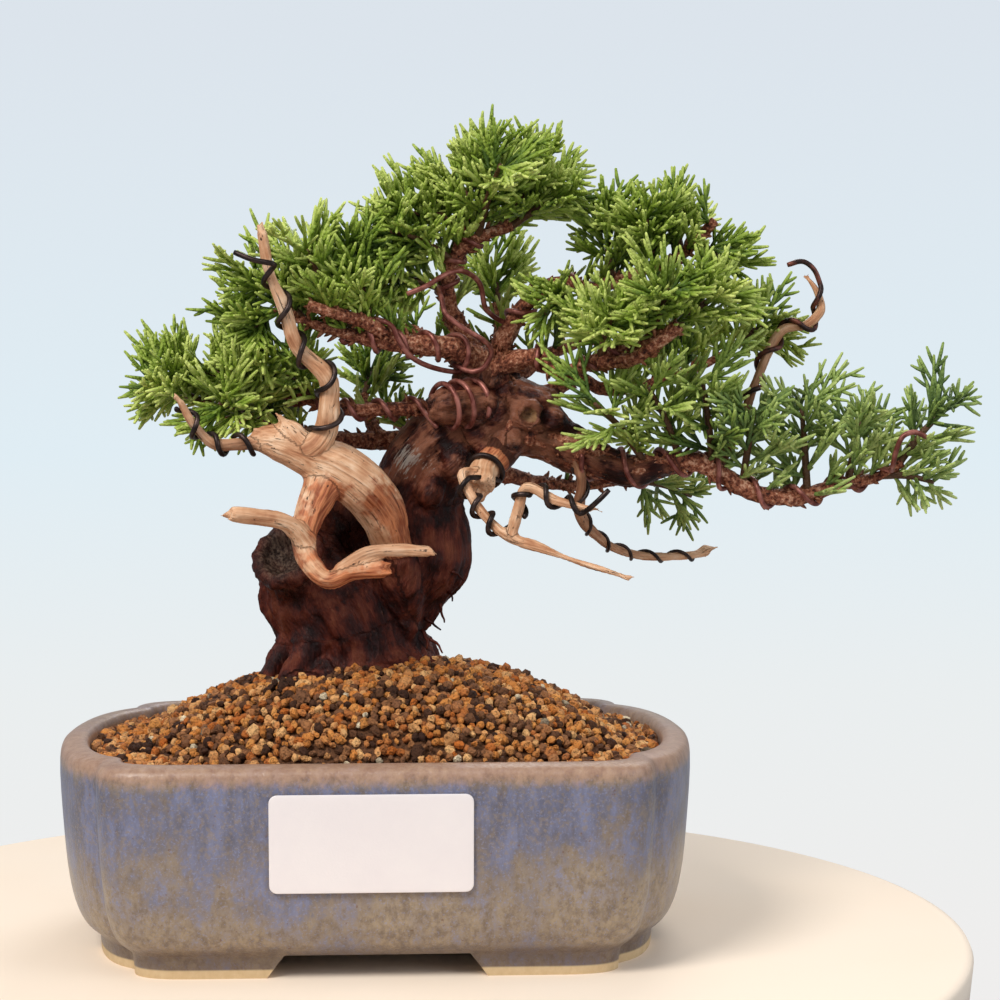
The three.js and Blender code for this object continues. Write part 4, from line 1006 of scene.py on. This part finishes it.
def without_crumbs(points, normals, faces):
    """The skin without the loose bits that thin tips leave."""
    leads = list(range(len(points)))

    def lead(point):
        while leads[point] != point:
            leads[point] = leads[leads[point]]
            point = leads[point]
        return point

    for face in faces:
        first = lead(face[0])
        for corner in face[1:]:
            leads[lead(corner)] = first
    owners = np.array([lead(point) for point in range(len(points))])
    kept = np.bincount(owners, minlength=len(points))[owners] >= SMALLEST_BODY
    renumbered = np.cumsum(kept) - 1
    faces = [renumbered[face].tolist() for face in faces if kept[face[0]]]
    return points[kept], normals[kept], faces


def grain_of(points, limbs):
    """Each point's place across and along its limb, the limb's number, the share of it, and 1 at a joint."""
    rows = []
    for number, limb in enumerate(limbs):
        path = PATHS[limb]
        shares = np.linspace(0, 1, max(4, round(path.length)))
        centres, _, normals, across = path.framed(shares)
        numbers = np.full(len(shares), number)
        rows.append(np.column_stack([centres, normals, across, shares * path.length, shares, numbers]))
    columns = np.split(np.vstack(rows), [3, 4, 7, 10, 11, 12], axis=1)
    middles, radii, numbers = columns[0], columns[1][:, 0], columns[6][:, 0]
    starts = np.searchsorted(numbers, np.arange(len(limbs)))
    nearest, margins = [], []
    for chunk in np.array_split(points, max(1, len(points) // 3000)):
        away = np.linalg.norm(chunk[:, None] - middles, axis=2) - radii
        nearest.append(np.argmin(away, axis=1))
        two = np.partition(np.minimum.reduceat(away, starts, axis=1), 1, axis=1)[:, :2]
        margins.append(two[:, 1] - two[:, 0])
    seam = np.clip(1 - np.concatenate(margins) / SEAM_REACH, 0, 1)
    picked = np.concatenate(nearest)
    middle, _, normal, across, run, share, number = (column[picked] for column in columns)
    offset = points - middle
    aside = np.einsum("ij,ij->i", offset, normal)
    around = np.einsum("ij,ij->i", offset, across)
    along = run[:, 0] + np.einsum("ij,ij->i", offset, np.cross(normal, across))
    grain = np.column_stack([aside + LIMB_SHIFT * number[:, 0], around, along])
    return grain, number[:, 0].astype(int), share[:, 0], seam


def fibre(grain, size, stretch, octaves=3):
    """Noise drawn out along the grain, about -1 to 1."""
    spots = grain / size * np.array([1, 1, 1 / stretch])
    return np.array([noise.fractal(spot, 1.0, 2.0, octaves) for spot in spots.tolist()])


def eased(values, faces, rounds, weights=1.0):
    """The values at the points, each drawn towards its neighbours as far as its weight says."""
    corners = np.array([face[:4] if len(face) > 3 else [*face, face[0]] for face in faces])
    one, other = corners.ravel(), np.roll(corners, -1, axis=1).ravel()
    count = np.bincount(one, minlength=len(values)) + np.bincount(other, minlength=len(values))
    columns = values.reshape(len(values), -1).T.copy()
    for _ in range(rounds):
        for column in columns:
            near = np.bincount(one, column[other], len(column))
            near += np.bincount(other, column[one], len(column))
            column += (near / count - column) * 0.8 * weights
    return columns.T.reshape(values.shape)


def nearness(points, centre, reach):
    """1 at the centre, falling smoothly to 0 at the reach (one number, or one for each axis)."""
    away = np.linalg.norm((points - np.array(centre)) / np.array(reach), axis=1)
    near = np.clip(1 - away, 0, 1)
    return near**2 * (3 - 2 * near)


def trunk_cuts():
    """What is taken out of the trunk: the hollows and the bowl of the scar."""
    cuts = Shell()
    for hollow in HOLLOWS:
        limb_tube(cuts, Path(hollow), 20)
    ball(cuts, SCAR_CENTRE + SCAR_FACING * 0.35 * SCAR_BOWL_RADIUS, [SCAR_BOWL_RADIUS] * 3)
    return cuts


def scar_and_knot(shell):
    """The raised lips round the scar and the knot, with the wood behind them."""
    face = [(*(SCAR_CENTRE - SCAR_FACING * back), SCAR_RADIUS + back / 8) for back in (0.5, 6, 14)]
    limb_tube(shell, Path(face), 24)
    lip = [(*spot, SCAR_LIP) for spot in oval(SCAR_CENTRE, SCAR_FACING, SCAR_RADIUS, SCAR_RADIUS)]
    limb_tube(shell, Path(lip, steps=2), 12)
    limb_tube(shell, Path(KNOT_NECK), 16)
    knot = [(*spot, KNOT_LIP) for spot in oval(KNOT_CENTRE, KNOT_FACING, *KNOT_HALF_SIZES)]
    limb_tube(shell, Path(knot, steps=2), 8)


def trunk():
    """The barked trunk with its roots, as one skin with plates, ridges and rootlets."""
    shell = Shell()
    for limb in TRUNK_LIMBS:
        limb_tube(shell, PATHS[limb], 24)
    limb_tube(shell, Path(LIMBS["rightMain"][:5]), 20)
    scar_and_knot(shell)
    for x, y, z, radius in BURLS:
        ball(shell, (x, y, z), (radius, radius, radius * 1.15))
    for root in FLARES:
        limb_tube(shell, Path(root), 14)
    heel = Shell()
    limb_tube(heel, Path(HEEL), 20)
    points, normals, faces = skinned("trunk_form", shell, TRUNK_VOXEL, trunk_cuts(), heel)
    grain, _, _, seam = grain_of(points, TRUNK_LIMBS + ["rightMain"])
    scar = nearness(points, SCAR_CENTRE, SCAR_RADIUS + 5)
    plates = fibre(grain, 4.2, 4.5)
    ridges = 1 - 2 * np.abs(fibre(grain, 2.2, 6, 2))
    rough = (1 - 0.75 * scar) * (1 - 0.8 * seam)
    gnarl = 1 + 0.5 * np.clip((points[:, 2] - 112) / 20, 0, 1)
    depth = (1.15 * plates * gnarl + 0.55 * ridges) * rough
    points = points + normals * depth[:, None]
    knot = nearness(points, KNOT_CENTRE, 3.4)
    crust = nearness(points, *CRUST)
    # Painted shade for the pocket: how far each point lies within it
    dim = np.clip(1.6 * nearness(points, *SHADE), 0, 1)
    shell = Shell()
    shell.add(points, [faces], grain=grain, scar=scar, crust=crust, knot=knot, dim=dim)
    rootlets(shell)
    settle(shell.make("trunk_bark", bark), "wood", "trunk_and_branches")


def rootlets(shell):
    """Thin dry roots that stand off the bark low on the trunk."""
    chance = Random(SEED + 7)
    for x, y, z in ROOTLET_SPOTS:
        line = [np.array([x, y, z], float)]
        heading = [chance.uniform(0.3, 1), chance.uniform(-0.6, 0.2), chance.uniform(-0.9, -0.2)]
        heading = unit(np.array(heading))
        for _ in range(5):
            heading = unit(heading + np.array([chance.uniform(-0.5, 0.5) for _ in range(3)]) + [0, 0, -0.25])
            line.append(line[-1] + heading * 1.1)
        marks = {"grain": line[0], "scar": 0.0, "crust": 0.0, "knot": 0.0, "dim": 0.0}
        tube(shell, line, np.linspace(0.5, 0.22, 6), 5, ends=0.1, **marks)


def deadwood_stains_and_shade(points, normals, numbers, shares, seam):
    """How red the bleached wood is, from real stain and from painted shade on its undersides and in its
    seams, how weathered, and how much under live bark, at each point.
    """
    on_arch, on_strut, on_knob, on_right_stub = (
        numbers == DEAD_LIMBS.index(limb) for limb in ("deadLimb", "strut", "frontJin", "stubRight")
    )
    # Painted shade: the sides of the arch and strut that face down and to the right, under the arch, are
    # coloured a deeper red
    shaded_underside = np.clip(normals @ np.array([0.75, -0.1, -0.65]) * 1.6 - 0.2, 0, 1)
    red = 0.42 * on_strut + shaded_underside * (on_strut * 0.9 + on_arch * 0.9)
    red = red + 0.9 * on_arch * np.clip((0.34 - shares) / 0.16, 0, 1)
    red = red + on_knob * np.clip((0.75 - shares) / 0.3, 0, 1)
    # Painted shade: the seams low on the arch, where limbs meet it, are coloured a deeper red
    red = red + 0.3 * seam * (points[:, 0] > -22) * (points[:, 2] < 124)
    dark = [DEAD_LIMBS.index(limb) for limb in ("hangingJin", "rightJin", "leftJin")]
    grey = np.isin(numbers, dark) * (0.8 - 0.45 * shares) + on_right_stub * 0.5
    skin = on_arch * np.clip((0.24 - shares) / 0.1, 0, 1) + on_knob * np.clip((0.5 - shares) / 0.15, 0, 1)
    return red, grey, skin


def deadwood():
    """The bleached limbs, as one grooved skin that ends in torn fibres."""
    shell = Shell()
    chance = Random(SEED + 5)
    for limb in DEAD_LIMBS:
        limb_tube(shell, PATHS[limb], 16, pitch=0.8)
    for limb in DEAD_LIMBS:
        splinters(shell, PATHS[limb], chance)
    points, normals, faces = skinned("deadwood_form", shell, DEADWOOD_VOXEL, smooth=6)
    grain, numbers, shares, seam = grain_of(points, DEAD_LIMBS)
    seam = np.clip(eased(seam, faces, 6) * 1.5, 0, 1)
    points = eased(points, faces, 24, seam)
    grooves = fibre(grain, 1.5, 9)
    swells = fibre(grain, 5, 2.5, 2)
    depth = (0.32 * grooves + 0.45 * swells) * (1 - 0.85 * seam)
    points = points + normals * depth[:, None]
    red, grey, skin = deadwood_stains_and_shade(points, normals, numbers, shares, seam)
    red, grey = eased(red, faces, 40), eased(grey, faces, 16)
    shell = Shell()
    shell.add(points, [faces], grain=grain, red=red, grey=grey, skin=skin)
    settle(shell.make("deadwood", dead), "wood", "trunk_and_branches")


def splinters(shell, path, chance):
    """Torn fibres that stand on at a broken end."""
    place, tangent, normal, across = (row[0] for row in path.framed([1.0]))
    for _ in range(6):
        angle = chance.uniform(0, 2 * math.pi)
        out = normal * math.cos(angle) + across * math.sin(angle)
        root = place[:3] + out * place[3] * chance.uniform(0.3, 0.75) - tangent * 1.5
        heading = unit(tangent + out * chance.uniform(-0.1, 0.25))
        length = chance.uniform(2.2, 4.5)
        line = root + heading * np.linspace(0, length, 5)[:, None]
        tube(shell, line, np.maximum(0.34, place[3] * np.array([0.42, 0.36, 0.3, 0.24, 0.2])), 6, ends=0.3)


def branches():
    """The living branches: an uneven skin, with small scales that stand off it."""
    shell = Shell()
    chance = Random(SEED + 9)
    for limb in LIVING_LIMBS:
        path = PATHS[limb]
        shares = np.linspace(0, 1, round(path.length / 0.8))
        centres, tangents, normals, across = path.framed(shares)
        sides = 12
        turns = np.arange(sides) * 2 * math.pi / sides
        along = shares * path.length
        knobs = np.array([
            [noise.noise((math.cos(turn) * 2, math.sin(turn) * 2, height / 3.2)) for turn in turns]
            for height in along
        ])
        swell = 1 + 0.3 * knobs
        tube(shell, centres[:, :3], centres[:, 3], sides, 0.3, normals, swell, scale=0.0)
        for _ in range(round(path.length * 0.9)):
            share = chance.uniform(0.03, 0.99)
            row = min(len(shares) - 1, round(share * (len(shares) - 1)))
            angle = chance.uniform(0, 2 * math.pi)
            out = normals[row] * math.cos(angle) + across[row] * math.sin(angle)
            heading = unit(tangents[row] * chance.uniform(0.3, 1.2) + out)
            root = centres[row, :3] + out * centres[row, 3] * 0.8
            length = chance.uniform(1.1, 2.8)
            line = root + heading * np.linspace(0, length, 4)[:, None]
            tube(shell, line, [0.6, 0.55, 0.42, 0.16], 4, ends=0.1, scale=1.0)
    settle(shell.make("living_branches", branch_bark), "wood", "trunk_and_branches")


trunk()
deadwood()
branches()


# Pot
POT_HALF_WIDTH, POT_HALF_DEPTH = 83.2, 59.0
PLAN_POINTS = 360
# A quarter of the plan: the soft corner of the straight front, and the half of the bowed end
CORNER_LOBE = [(53, -59), (71.5, -59), (69, -46)]
END_BOW = [(69, -46), (82, -38.64), (83.2, 0)]
# The wall from the foot up to the lip and down again inside, as (height, inset from the plan)
OUTSIDE = [
    (0, 10), (5.2, 9.4), (6.2, 8.6), (9, 5.6), (13, 3.6), (20, 2), (32, 0.8), (50, 0), (53, 0.6), (54, 2),
]
INSIDE = [(54.2, 6.6), (50, 7.8), (26, 9.5), (16, 12.5), (13, 17)]
FOOT_HEIGHT = 6
UNDERSIDE_INSET = 24
DRAIN_X, DRAIN_RADIUS = 38, 7


def curve_point(start, control, end, share):
    """A point on the curve from start to end that bends towards control."""
    start, control, end = (np.array(spot, float) for spot in (start, control, end))
    return start * (1 - share) ** 2 + control * 2 * share * (1 - share) + end * share**2


def plan(inset, count=PLAN_POINTS):
    """The pot's plan, evenly spaced: straight long sides, bowed ends, and a soft valley at each corner."""
    shares = np.linspace(0, 1, 60)
    lobe = [curve_point(*CORNER_LOBE, share) for share in shares]
    lobe = np.array(lobe + [curve_point(*END_BOW, share) for share in shares[1:]])
    half = np.vstack([lobe, lobe[-2::-1] * [1, -1]])
    loop = np.vstack([half, half[::-1] * [-1, 1], half[:1]])
    steps = np.concatenate([[0], np.cumsum(np.linalg.norm(np.diff(loop, axis=0), axis=1))])
    spots = np.linspace(0, steps[-1], count, endpoint=False)
    even = np.column_stack([np.interp(spots, steps, loop[:, axis]) for axis in (0, 1)])
    for _ in range(2):
        even = (np.roll(even, 1, axis=0) + 2 * even + np.roll(even, -1, axis=0)) / 4
    scale = [(POT_HALF_WIDTH - inset) / POT_HALF_WIDTH, (POT_HALF_DEPTH - inset) / POT_HALF_DEPTH]
    return even * scale


def lofted(levels):
    """A closed body through the pot's plan at (height, inset) levels."""
    rings = [np.column_stack([plan(inset), np.full(PLAN_POINTS, height)]) for height, inset in levels]
    ends = [[0, 0, levels[0][0]], [0, 0, levels[-1][0]]]
    shell = Shell()
    shell.add(np.vstack([*rings, ends]), tube_faces(len(rings), PLAN_POINTS))
    return shell


def channel(half_bottom, half_top, reach, along_x):
    """A wedge-sided slot under the pot, from end to end, which leaves the feet on both its sides."""
    section = [
        (-half_bottom, -2), (half_bottom, -2), (half_bottom, 0),
        (half_top, FOOT_HEIGHT), (-half_top, FOOT_HEIGHT), (-half_bottom, 0),
    ]
    points = [
        (end, side, height) if along_x else (side, end, height)
        for end in (-reach, reach) for side, height in section
    ]
    count = len(section)
    faces = [[side, (side + 1) % count, count + (side + 1) % count, count + side] for side in range(count)]
    faces += [list(range(count))[::-1], list(range(count, 2 * count))]
    if not along_x:
        faces = [face[::-1] for face in faces]
    shell = Shell()
    shell.add(points, [])
    shell.faces = faces
    return shell


def drain_hole(x):
    """The tool that cuts one drain hole through the floor."""
    hole = Shell()
    line = [(x, 0, 0), (x, 0, 10), (x, 0, 20)]
    tube(hole, line, [DRAIN_RADIUS] * 3, 48, normals=np.tile([1.0, 0, 0], (3, 1)))
    return hole


def pot():
    """The glazed pot: its wall and floor, cut from below for the feet and the drain holes."""
    profile = Path([(inset, 0, height) for height, inset in OUTSIDE + INSIDE], steps=4)
    levels = [(height, inset) for inset, _, height, _ in profile.rows]
    body = lofted(levels).make("pot_form", scale=1, middle=0)
    tools = [
        lofted([(-2, UNDERSIDE_INSET), (FOOT_HEIGHT, UNDERSIDE_INSET)]),
        channel(27.5, 23, 70, False),
        channel(15, 11, 90, True),
        drain_hole(-DRAIN_X),
        drain_hole(DRAIN_X),
    ]
    helpers = [body]
    for number, tool in enumerate(tools):
        helpers.append(tool.make(f"pot_cut_{number}", scale=1, middle=0))
        cut = body.modifiers.new("cut", "BOOLEAN")
        cut.operation, cut.solver, cut.object = "DIFFERENCE", "MANIFOLD", helpers[-1]
    round_edges = body.modifiers.new("edges", "BEVEL")
    round_edges.width, round_edges.segments, round_edges.angle_limit = 0.7, 3, math.radians(42)
    points, _, faces = points_and_faces(helpers)
    shell = Shell()
    shell.add(points, [])
    shell.faces = faces
    settle(shell.make("glazed_pot", glaze), "glaze", "pot")


pot()

# The label leans with the pot's wall and stands just clear of the glaze
LABEL_SIZE, LABEL_CORNER, LABEL_THICKNESS = (50.0, 24.5), 2.0, 0.5
LABEL_MIDDLE = [-1.4, -58.97, 35.6]
LABEL_LEAN = 0.055
# The sheet from its back to its front, as (share of the half size, level as a share of the thickness)
LABEL_LAYERS = [(1.0, -0.5), (1.0, 0.32), (0.994, 0.46), (0.985, 0.5), (0.9, 0.5), (0.5, 0.5)]


def rounded_sheet(half):
    """The label's outline: four corners of seven points each."""
    outline = []
    for x, y, start in ((1, 1, 0), (-1, 1, 90), (-1, -1, 180), (1, -1, 270)):
        middle = (half - LABEL_CORNER) * (x, y)
        for step in range(7):
            angle = math.radians(start + 15 * step)
            outline.append(middle + LABEL_CORNER * np.array([math.cos(angle), math.sin(angle)]))
    return np.array(outline)


def label_sheet():
    """A blank paper label with rounded corners and worn edges."""
    half = np.array(LABEL_SIZE) / 2
    outline = rounded_sheet(half)
    rings = []
    for share, level in LABEL_LAYERS:
        ring = outline - np.sign(outline) * (1 - share) * half
        rings.append(np.column_stack([ring[:, 0], np.full(len(ring), level * LABEL_THICKNESS), ring[:, 1]]))
    ends = [[0, -0.5 * LABEL_THICKNESS, 0], [0, 0.5 * LABEL_THICKNESS, 0]]
    points = np.vstack([*rings, ends]) * [1, -1, 1]
    cosine, sine = math.cos(LABEL_LEAN), math.sin(LABEL_LEAN)
    lean = np.array([[1, 0, 0], [0, cosine, -sine], [0, sine, cosine]])
    shell = Shell()
    shell.add(points @ lean.T + LABEL_MIDDLE, tube_faces(len(rings), len(outline)))
    settle(shell.make("blank_label", paper), "label", "label")


label_sheet()


# Grit
MOUND_BASE, MOUND_RISE = 52.0, 21.0
MOUND_MIDDLE, MOUND_REACH = (2.0, -3.0), (66.0, 52.0)
GRIT_INSET = 7.8
GRIT_HALF_WIDTH, GRIT_HALF_DEPTH = 86, 60
GRAIN_JITTER = 0.32
BIG_GRAIN_SHARE = 0.12
GRAIN_FORMS = 24
BED_DEPTH, BED_FLOOR = 1.6, 30.0
# Where the two heaps of bark crumbs lie
CLUMPS = [(-23, -21), (-60, -22)]
CRUMBS_IN_CLUMP = 16


def wall_reaches():
    """The angle and the distance from the middle of the grit's edge, in order of the angle."""
    edge = plan(GRIT_INSET)
    angles = np.arctan2(edge[:, 1], edge[:, 0])
    order = np.argsort(angles)
    return angles[order], np.linalg.norm(edge, axis=1)[order]


WALL_REACHES = wall_reaches()


def mound(x, y):
    """The height of the heap, which falls away close to the rim."""
    away = math.hypot((x - MOUND_MIDDLE[0]) / MOUND_REACH[0], (y - MOUND_MIDDLE[1]) / MOUND_REACH[1])
    heap = MOUND_BASE + MOUND_RISE * max(0.0, 1 - away**2.4)
    return min(heap, MOUND_BASE - 0.5 + 1.2 * room(x, y))


def room(x, y):
    """How far the spot is from the pot's wall, straight outwards."""
    angles, reaches = WALL_REACHES
    return np.interp(math.atan2(y, x), angles, reaches, period=2 * math.pi) - math.hypot(x, y)


def random_heading(chance, axes):
    """A direction of length 1, each as likely as the next."""
    return unit(np.array([chance.gauss(0, 1) for _ in range(axes)]))


def pebble(chance):
    """The points of one rough grain of size 1: a ball cut by random flats, with its corners worn."""
    flats = [(random_heading(chance, 3), chance.uniform(0.5, 0.95)) for _ in range(10)]
    reach = np.array([
        min([1.0] + [depth / max(0.05, facing.dot(spot)) for facing, depth in flats]) for spot in BALL_POINTS
    ])
    stretch = np.array([1, chance.uniform(0.75, 1.0), chance.uniform(0.62, 0.9)])
    points = BALL_POINTS * (0.12 + 0.88 * reach)[:, None] * stretch
    return points / np.abs(points).max()


def round_ball(rings=3, sides=7):
    """The points and faces of a coarse ball of radius 1."""
    slopes = np.linspace(0, math.pi, rings + 2)[1:-1]
    turns = np.arange(sides) * 2 * math.pi / sides
    points = [
        (math.sin(slope) * math.cos(turn), math.sin(slope) * math.sin(turn), -math.cos(slope))
        for slope in slopes for turn in turns
    ]
    return np.array([*points, (0, 0, -1), (0, 0, 1)], float), tube_faces(rings, sides)


BALL_POINTS, BALL_FACES = round_ball()


def spin(chance):
    """A random turn, as a matrix."""
    return np.array(Quaternion(random_heading(chance, 4).tolist()).to_matrix())


def grains(name, seed, pitch, sizes, y_from, y_to):
    """One layer of single grains on the mound, in loosely staggered rows, from y_from to y_to."""
    chance = Random(seed)
    shell = Shell()
    forms = [pebble(chance) for _ in range(GRAIN_FORMS)]
    row_step = pitch * 0.866
    last_row, last_column = round(GRIT_HALF_DEPTH / row_step), round(GRIT_HALF_WIDTH / pitch)
    for row in range(-last_row, last_row + 1):
        for column in range(-last_column, last_column + 1):
            x = (column + 0.5 * (row % 2)) * pitch + chance.uniform(-GRAIN_JITTER, GRAIN_JITTER) * pitch
            y = row * row_step + chance.uniform(-GRAIN_JITTER, GRAIN_JITTER) * pitch
            size = chance.uniform(*sizes) / 2 * (1 + 0.35 * (chance.random() < BIG_GRAIN_SHARE))
            shape, tone, kind = chance.choice(forms), chance.random(), chance.random()
            turn = spin(chance)
            if not (y_from < y <= y_to and room(x, y) > size * 0.8):
                continue
            height = mound(x, y) - 0.3 + chance.uniform(-0.5, 0.9) * size * 0.6
            points = shape @ turn.T * size + np.array([x, y, height])
            shell.add(points, BALL_FACES, tone=tone, kind=kind)
    if y_from < 0:
        clumps(shell, chance, forms)
    settle(shell.make(name, grit, faceted=True), "grit", "soil")


def clumps(shell, chance, forms):
    """Two heaps of dark bark crumbs on the grit."""
    for x, y in CLUMPS:
        for _ in range(CRUMBS_IN_CLUMP):
            spot = np.array([x + chance.gauss(0, 2.2), y + chance.gauss(0, 1.6)])
            size = chance.uniform(0.9, 1.9)
            lift = mound(*spot.tolist()) + chance.uniform(0.2, 1.6)
            points = chance.choice(forms) @ spin(chance).T * size + np.array([*spot, lift])
            shell.add(points, BALL_FACES, tone=1.0, kind=0.93)


def bed():
    """The dark filling below the grains, closed underneath."""
    shell = Shell()
    edge = plan(GRIT_INSET - 0.6, 120)
    rings = []
    for share in np.linspace(0.02, 1, 40):
        ring = edge * share
        heights = [mound(x, y) - BED_DEPTH + 0.8 * noise.noise((x / 4, y / 4, 0)) for x, y in ring.tolist()]
        rings.append(np.column_stack([ring, heights]))
    rings.append(np.column_stack([edge, np.full(len(edge), BED_FLOOR)]))
    points = np.vstack([*rings, [[0, 0, mound(0, 0) - BED_DEPTH]], [[0, 0, BED_FLOOR]]])
    shell.add(points, [part[:, ::-1] for part in tube_faces(len(rings), len(edge))], tone=0.9, kind=0.8)
    settle(shell.make("grit_bed", grit), "grit", "soil")


bed()
grains("front_grit", SEED + 1, 1.95, (1.7, 3.5), -60, 0)
grains("rear_grit", SEED + 2, 2.05, (1.8, 3.6), 0, 60)


# Camera, floor and light
TABLE_RADIUS = 162.0
TABLE_MIDDLE = (-3.6, 4.7)
# The table's edge from below to above, as (height, how far it is drawn in)
TABLE_EDGE = [(-12.0, 1), (-2.0, 0), (-0.6, 0.6), (0.0, 2.5)]
AMBIENT = 0.42
LIGHT_TARGET = (-0.03, 0, 0.1)
CAMERA_PLACE = [0, -659, 159.5]
CAMERA_TILT, CAMERA_TURN = 86.2, -2.86
LENS, SENSOR_WIDTH = 89.42, 36.0


def make_plain(name, low, high):
    finish = Finish(name)
    cloud = finish.noise(finish.place(), 120, 3)
    return finish.coat(base_color=finish.mix(cloud, paint(low), paint(high)), roughness=0.85)


def table_top():
    """The round stand that the pot's feet rest on; it belongs to the picture alone."""
    shell = Shell()
    line = [(*TABLE_MIDDLE, height) for height, _ in TABLE_EDGE]
    radii = [TABLE_RADIUS - drawn_in for _, drawn_in in TABLE_EDGE]
    tube(shell, line, radii, 180, normals=np.tile([1.0, 0, 0], (len(line), 1)))
    shell.make("table_top", make_plain("pale_table", "#fae3c9", "#fdeddb"))


def soft_light(name, place, target, size, watts, colour):
    """A round lamp at a place in metres, turned to its target."""
    data = bpy.data.lights.new(name, "AREA")
    data.shape, data.size, data.energy, data.color = "DISK", size, watts, colour
    light = bpy.data.objects.new(name, data)
    light.location = place
    light.rotation_euler = (Vector(target) - Vector(place)).to_track_quat("-Z", "Y").to_euler()
    bpy.context.scene.collection.objects.link(light)


def pale_room():
    """A pale backdrop, lighter towards the floor, and an even light that the camera doesn't see."""
    world = bpy.data.worlds.new("pale_room")
    world.use_nodes = True
    bpy.context.scene.world = world
    nodes, links = world.node_tree.nodes, world.node_tree.links
    nodes.clear()
    place, parts, share, ramp, backdrop, ambient, seen, either, output = (
        nodes.new("ShaderNode" + kind) for kind in (
            "TexCoord", "SeparateXYZ", "MapRange", "ValToRGB", "Background", "Background", "LightPath",
            "MixShader", "OutputWorld",
        )
    )
    lay_stops(ramp.color_ramp, [
        (0.38, paint("#efeeed")), (0.43, paint("#eaeeef")), (0.477, paint("#e0edf4")),
        (0.56, paint("#dce4ec")), (0.8, paint("#d2dbe5")),
    ])
    share.inputs["From Min"].default_value = -1.0
    ambient.inputs[0].default_value, ambient.inputs[1].default_value = (0.86, 0.92, 1.0, 1.0), AMBIENT
    links.new(place.outputs["Generated"], parts.inputs[0])
    links.new(parts.outputs[2], share.inputs["Value"])
    links.new(share.outputs[0], ramp.inputs[0])
    links.new(ramp.outputs[0], backdrop.inputs[0])
    links.new(seen.outputs["Is Camera Ray"], either.inputs[0])
    links.new(ambient.outputs[0], either.inputs[1])
    links.new(backdrop.outputs[0], either.inputs[2])
    links.new(either.outputs[0], output.inputs[0])


def photo_camera():
    """The camera at the photograph's place and angle."""
    data = bpy.data.cameras.new("photo_camera")
    data.lens, data.sensor_width = LENS, SENSOR_WIDTH
    camera = bpy.data.objects.new("photo_camera", data)
    camera.location = (POT_MIDDLE + CAMERA_PLACE) * MM
    camera.rotation_euler = (math.radians(CAMERA_TILT), 0.0, math.radians(CAMERA_TURN))
    bpy.context.scene.collection.objects.link(camera)
    bpy.context.scene.camera = camera


table_top()
pale_room()
soft_light("window", (-0.62, -0.72, 0.95), LIGHT_TARGET, 0.5, 13, (1.0, 0.98, 0.95))
soft_light("fill", (0.75, -0.55, 0.5), LIGHT_TARGET, 0.7, 3.0, (0.92, 0.96, 1.0))
soft_light("rim", (0.2, 0.75, 0.8), (-0.03, 0, 0.12), 0.5, 3.5, (1.0, 1.0, 1.0))
photo_camera()
bpy.context.scene.view_settings.view_transform = "Standard"
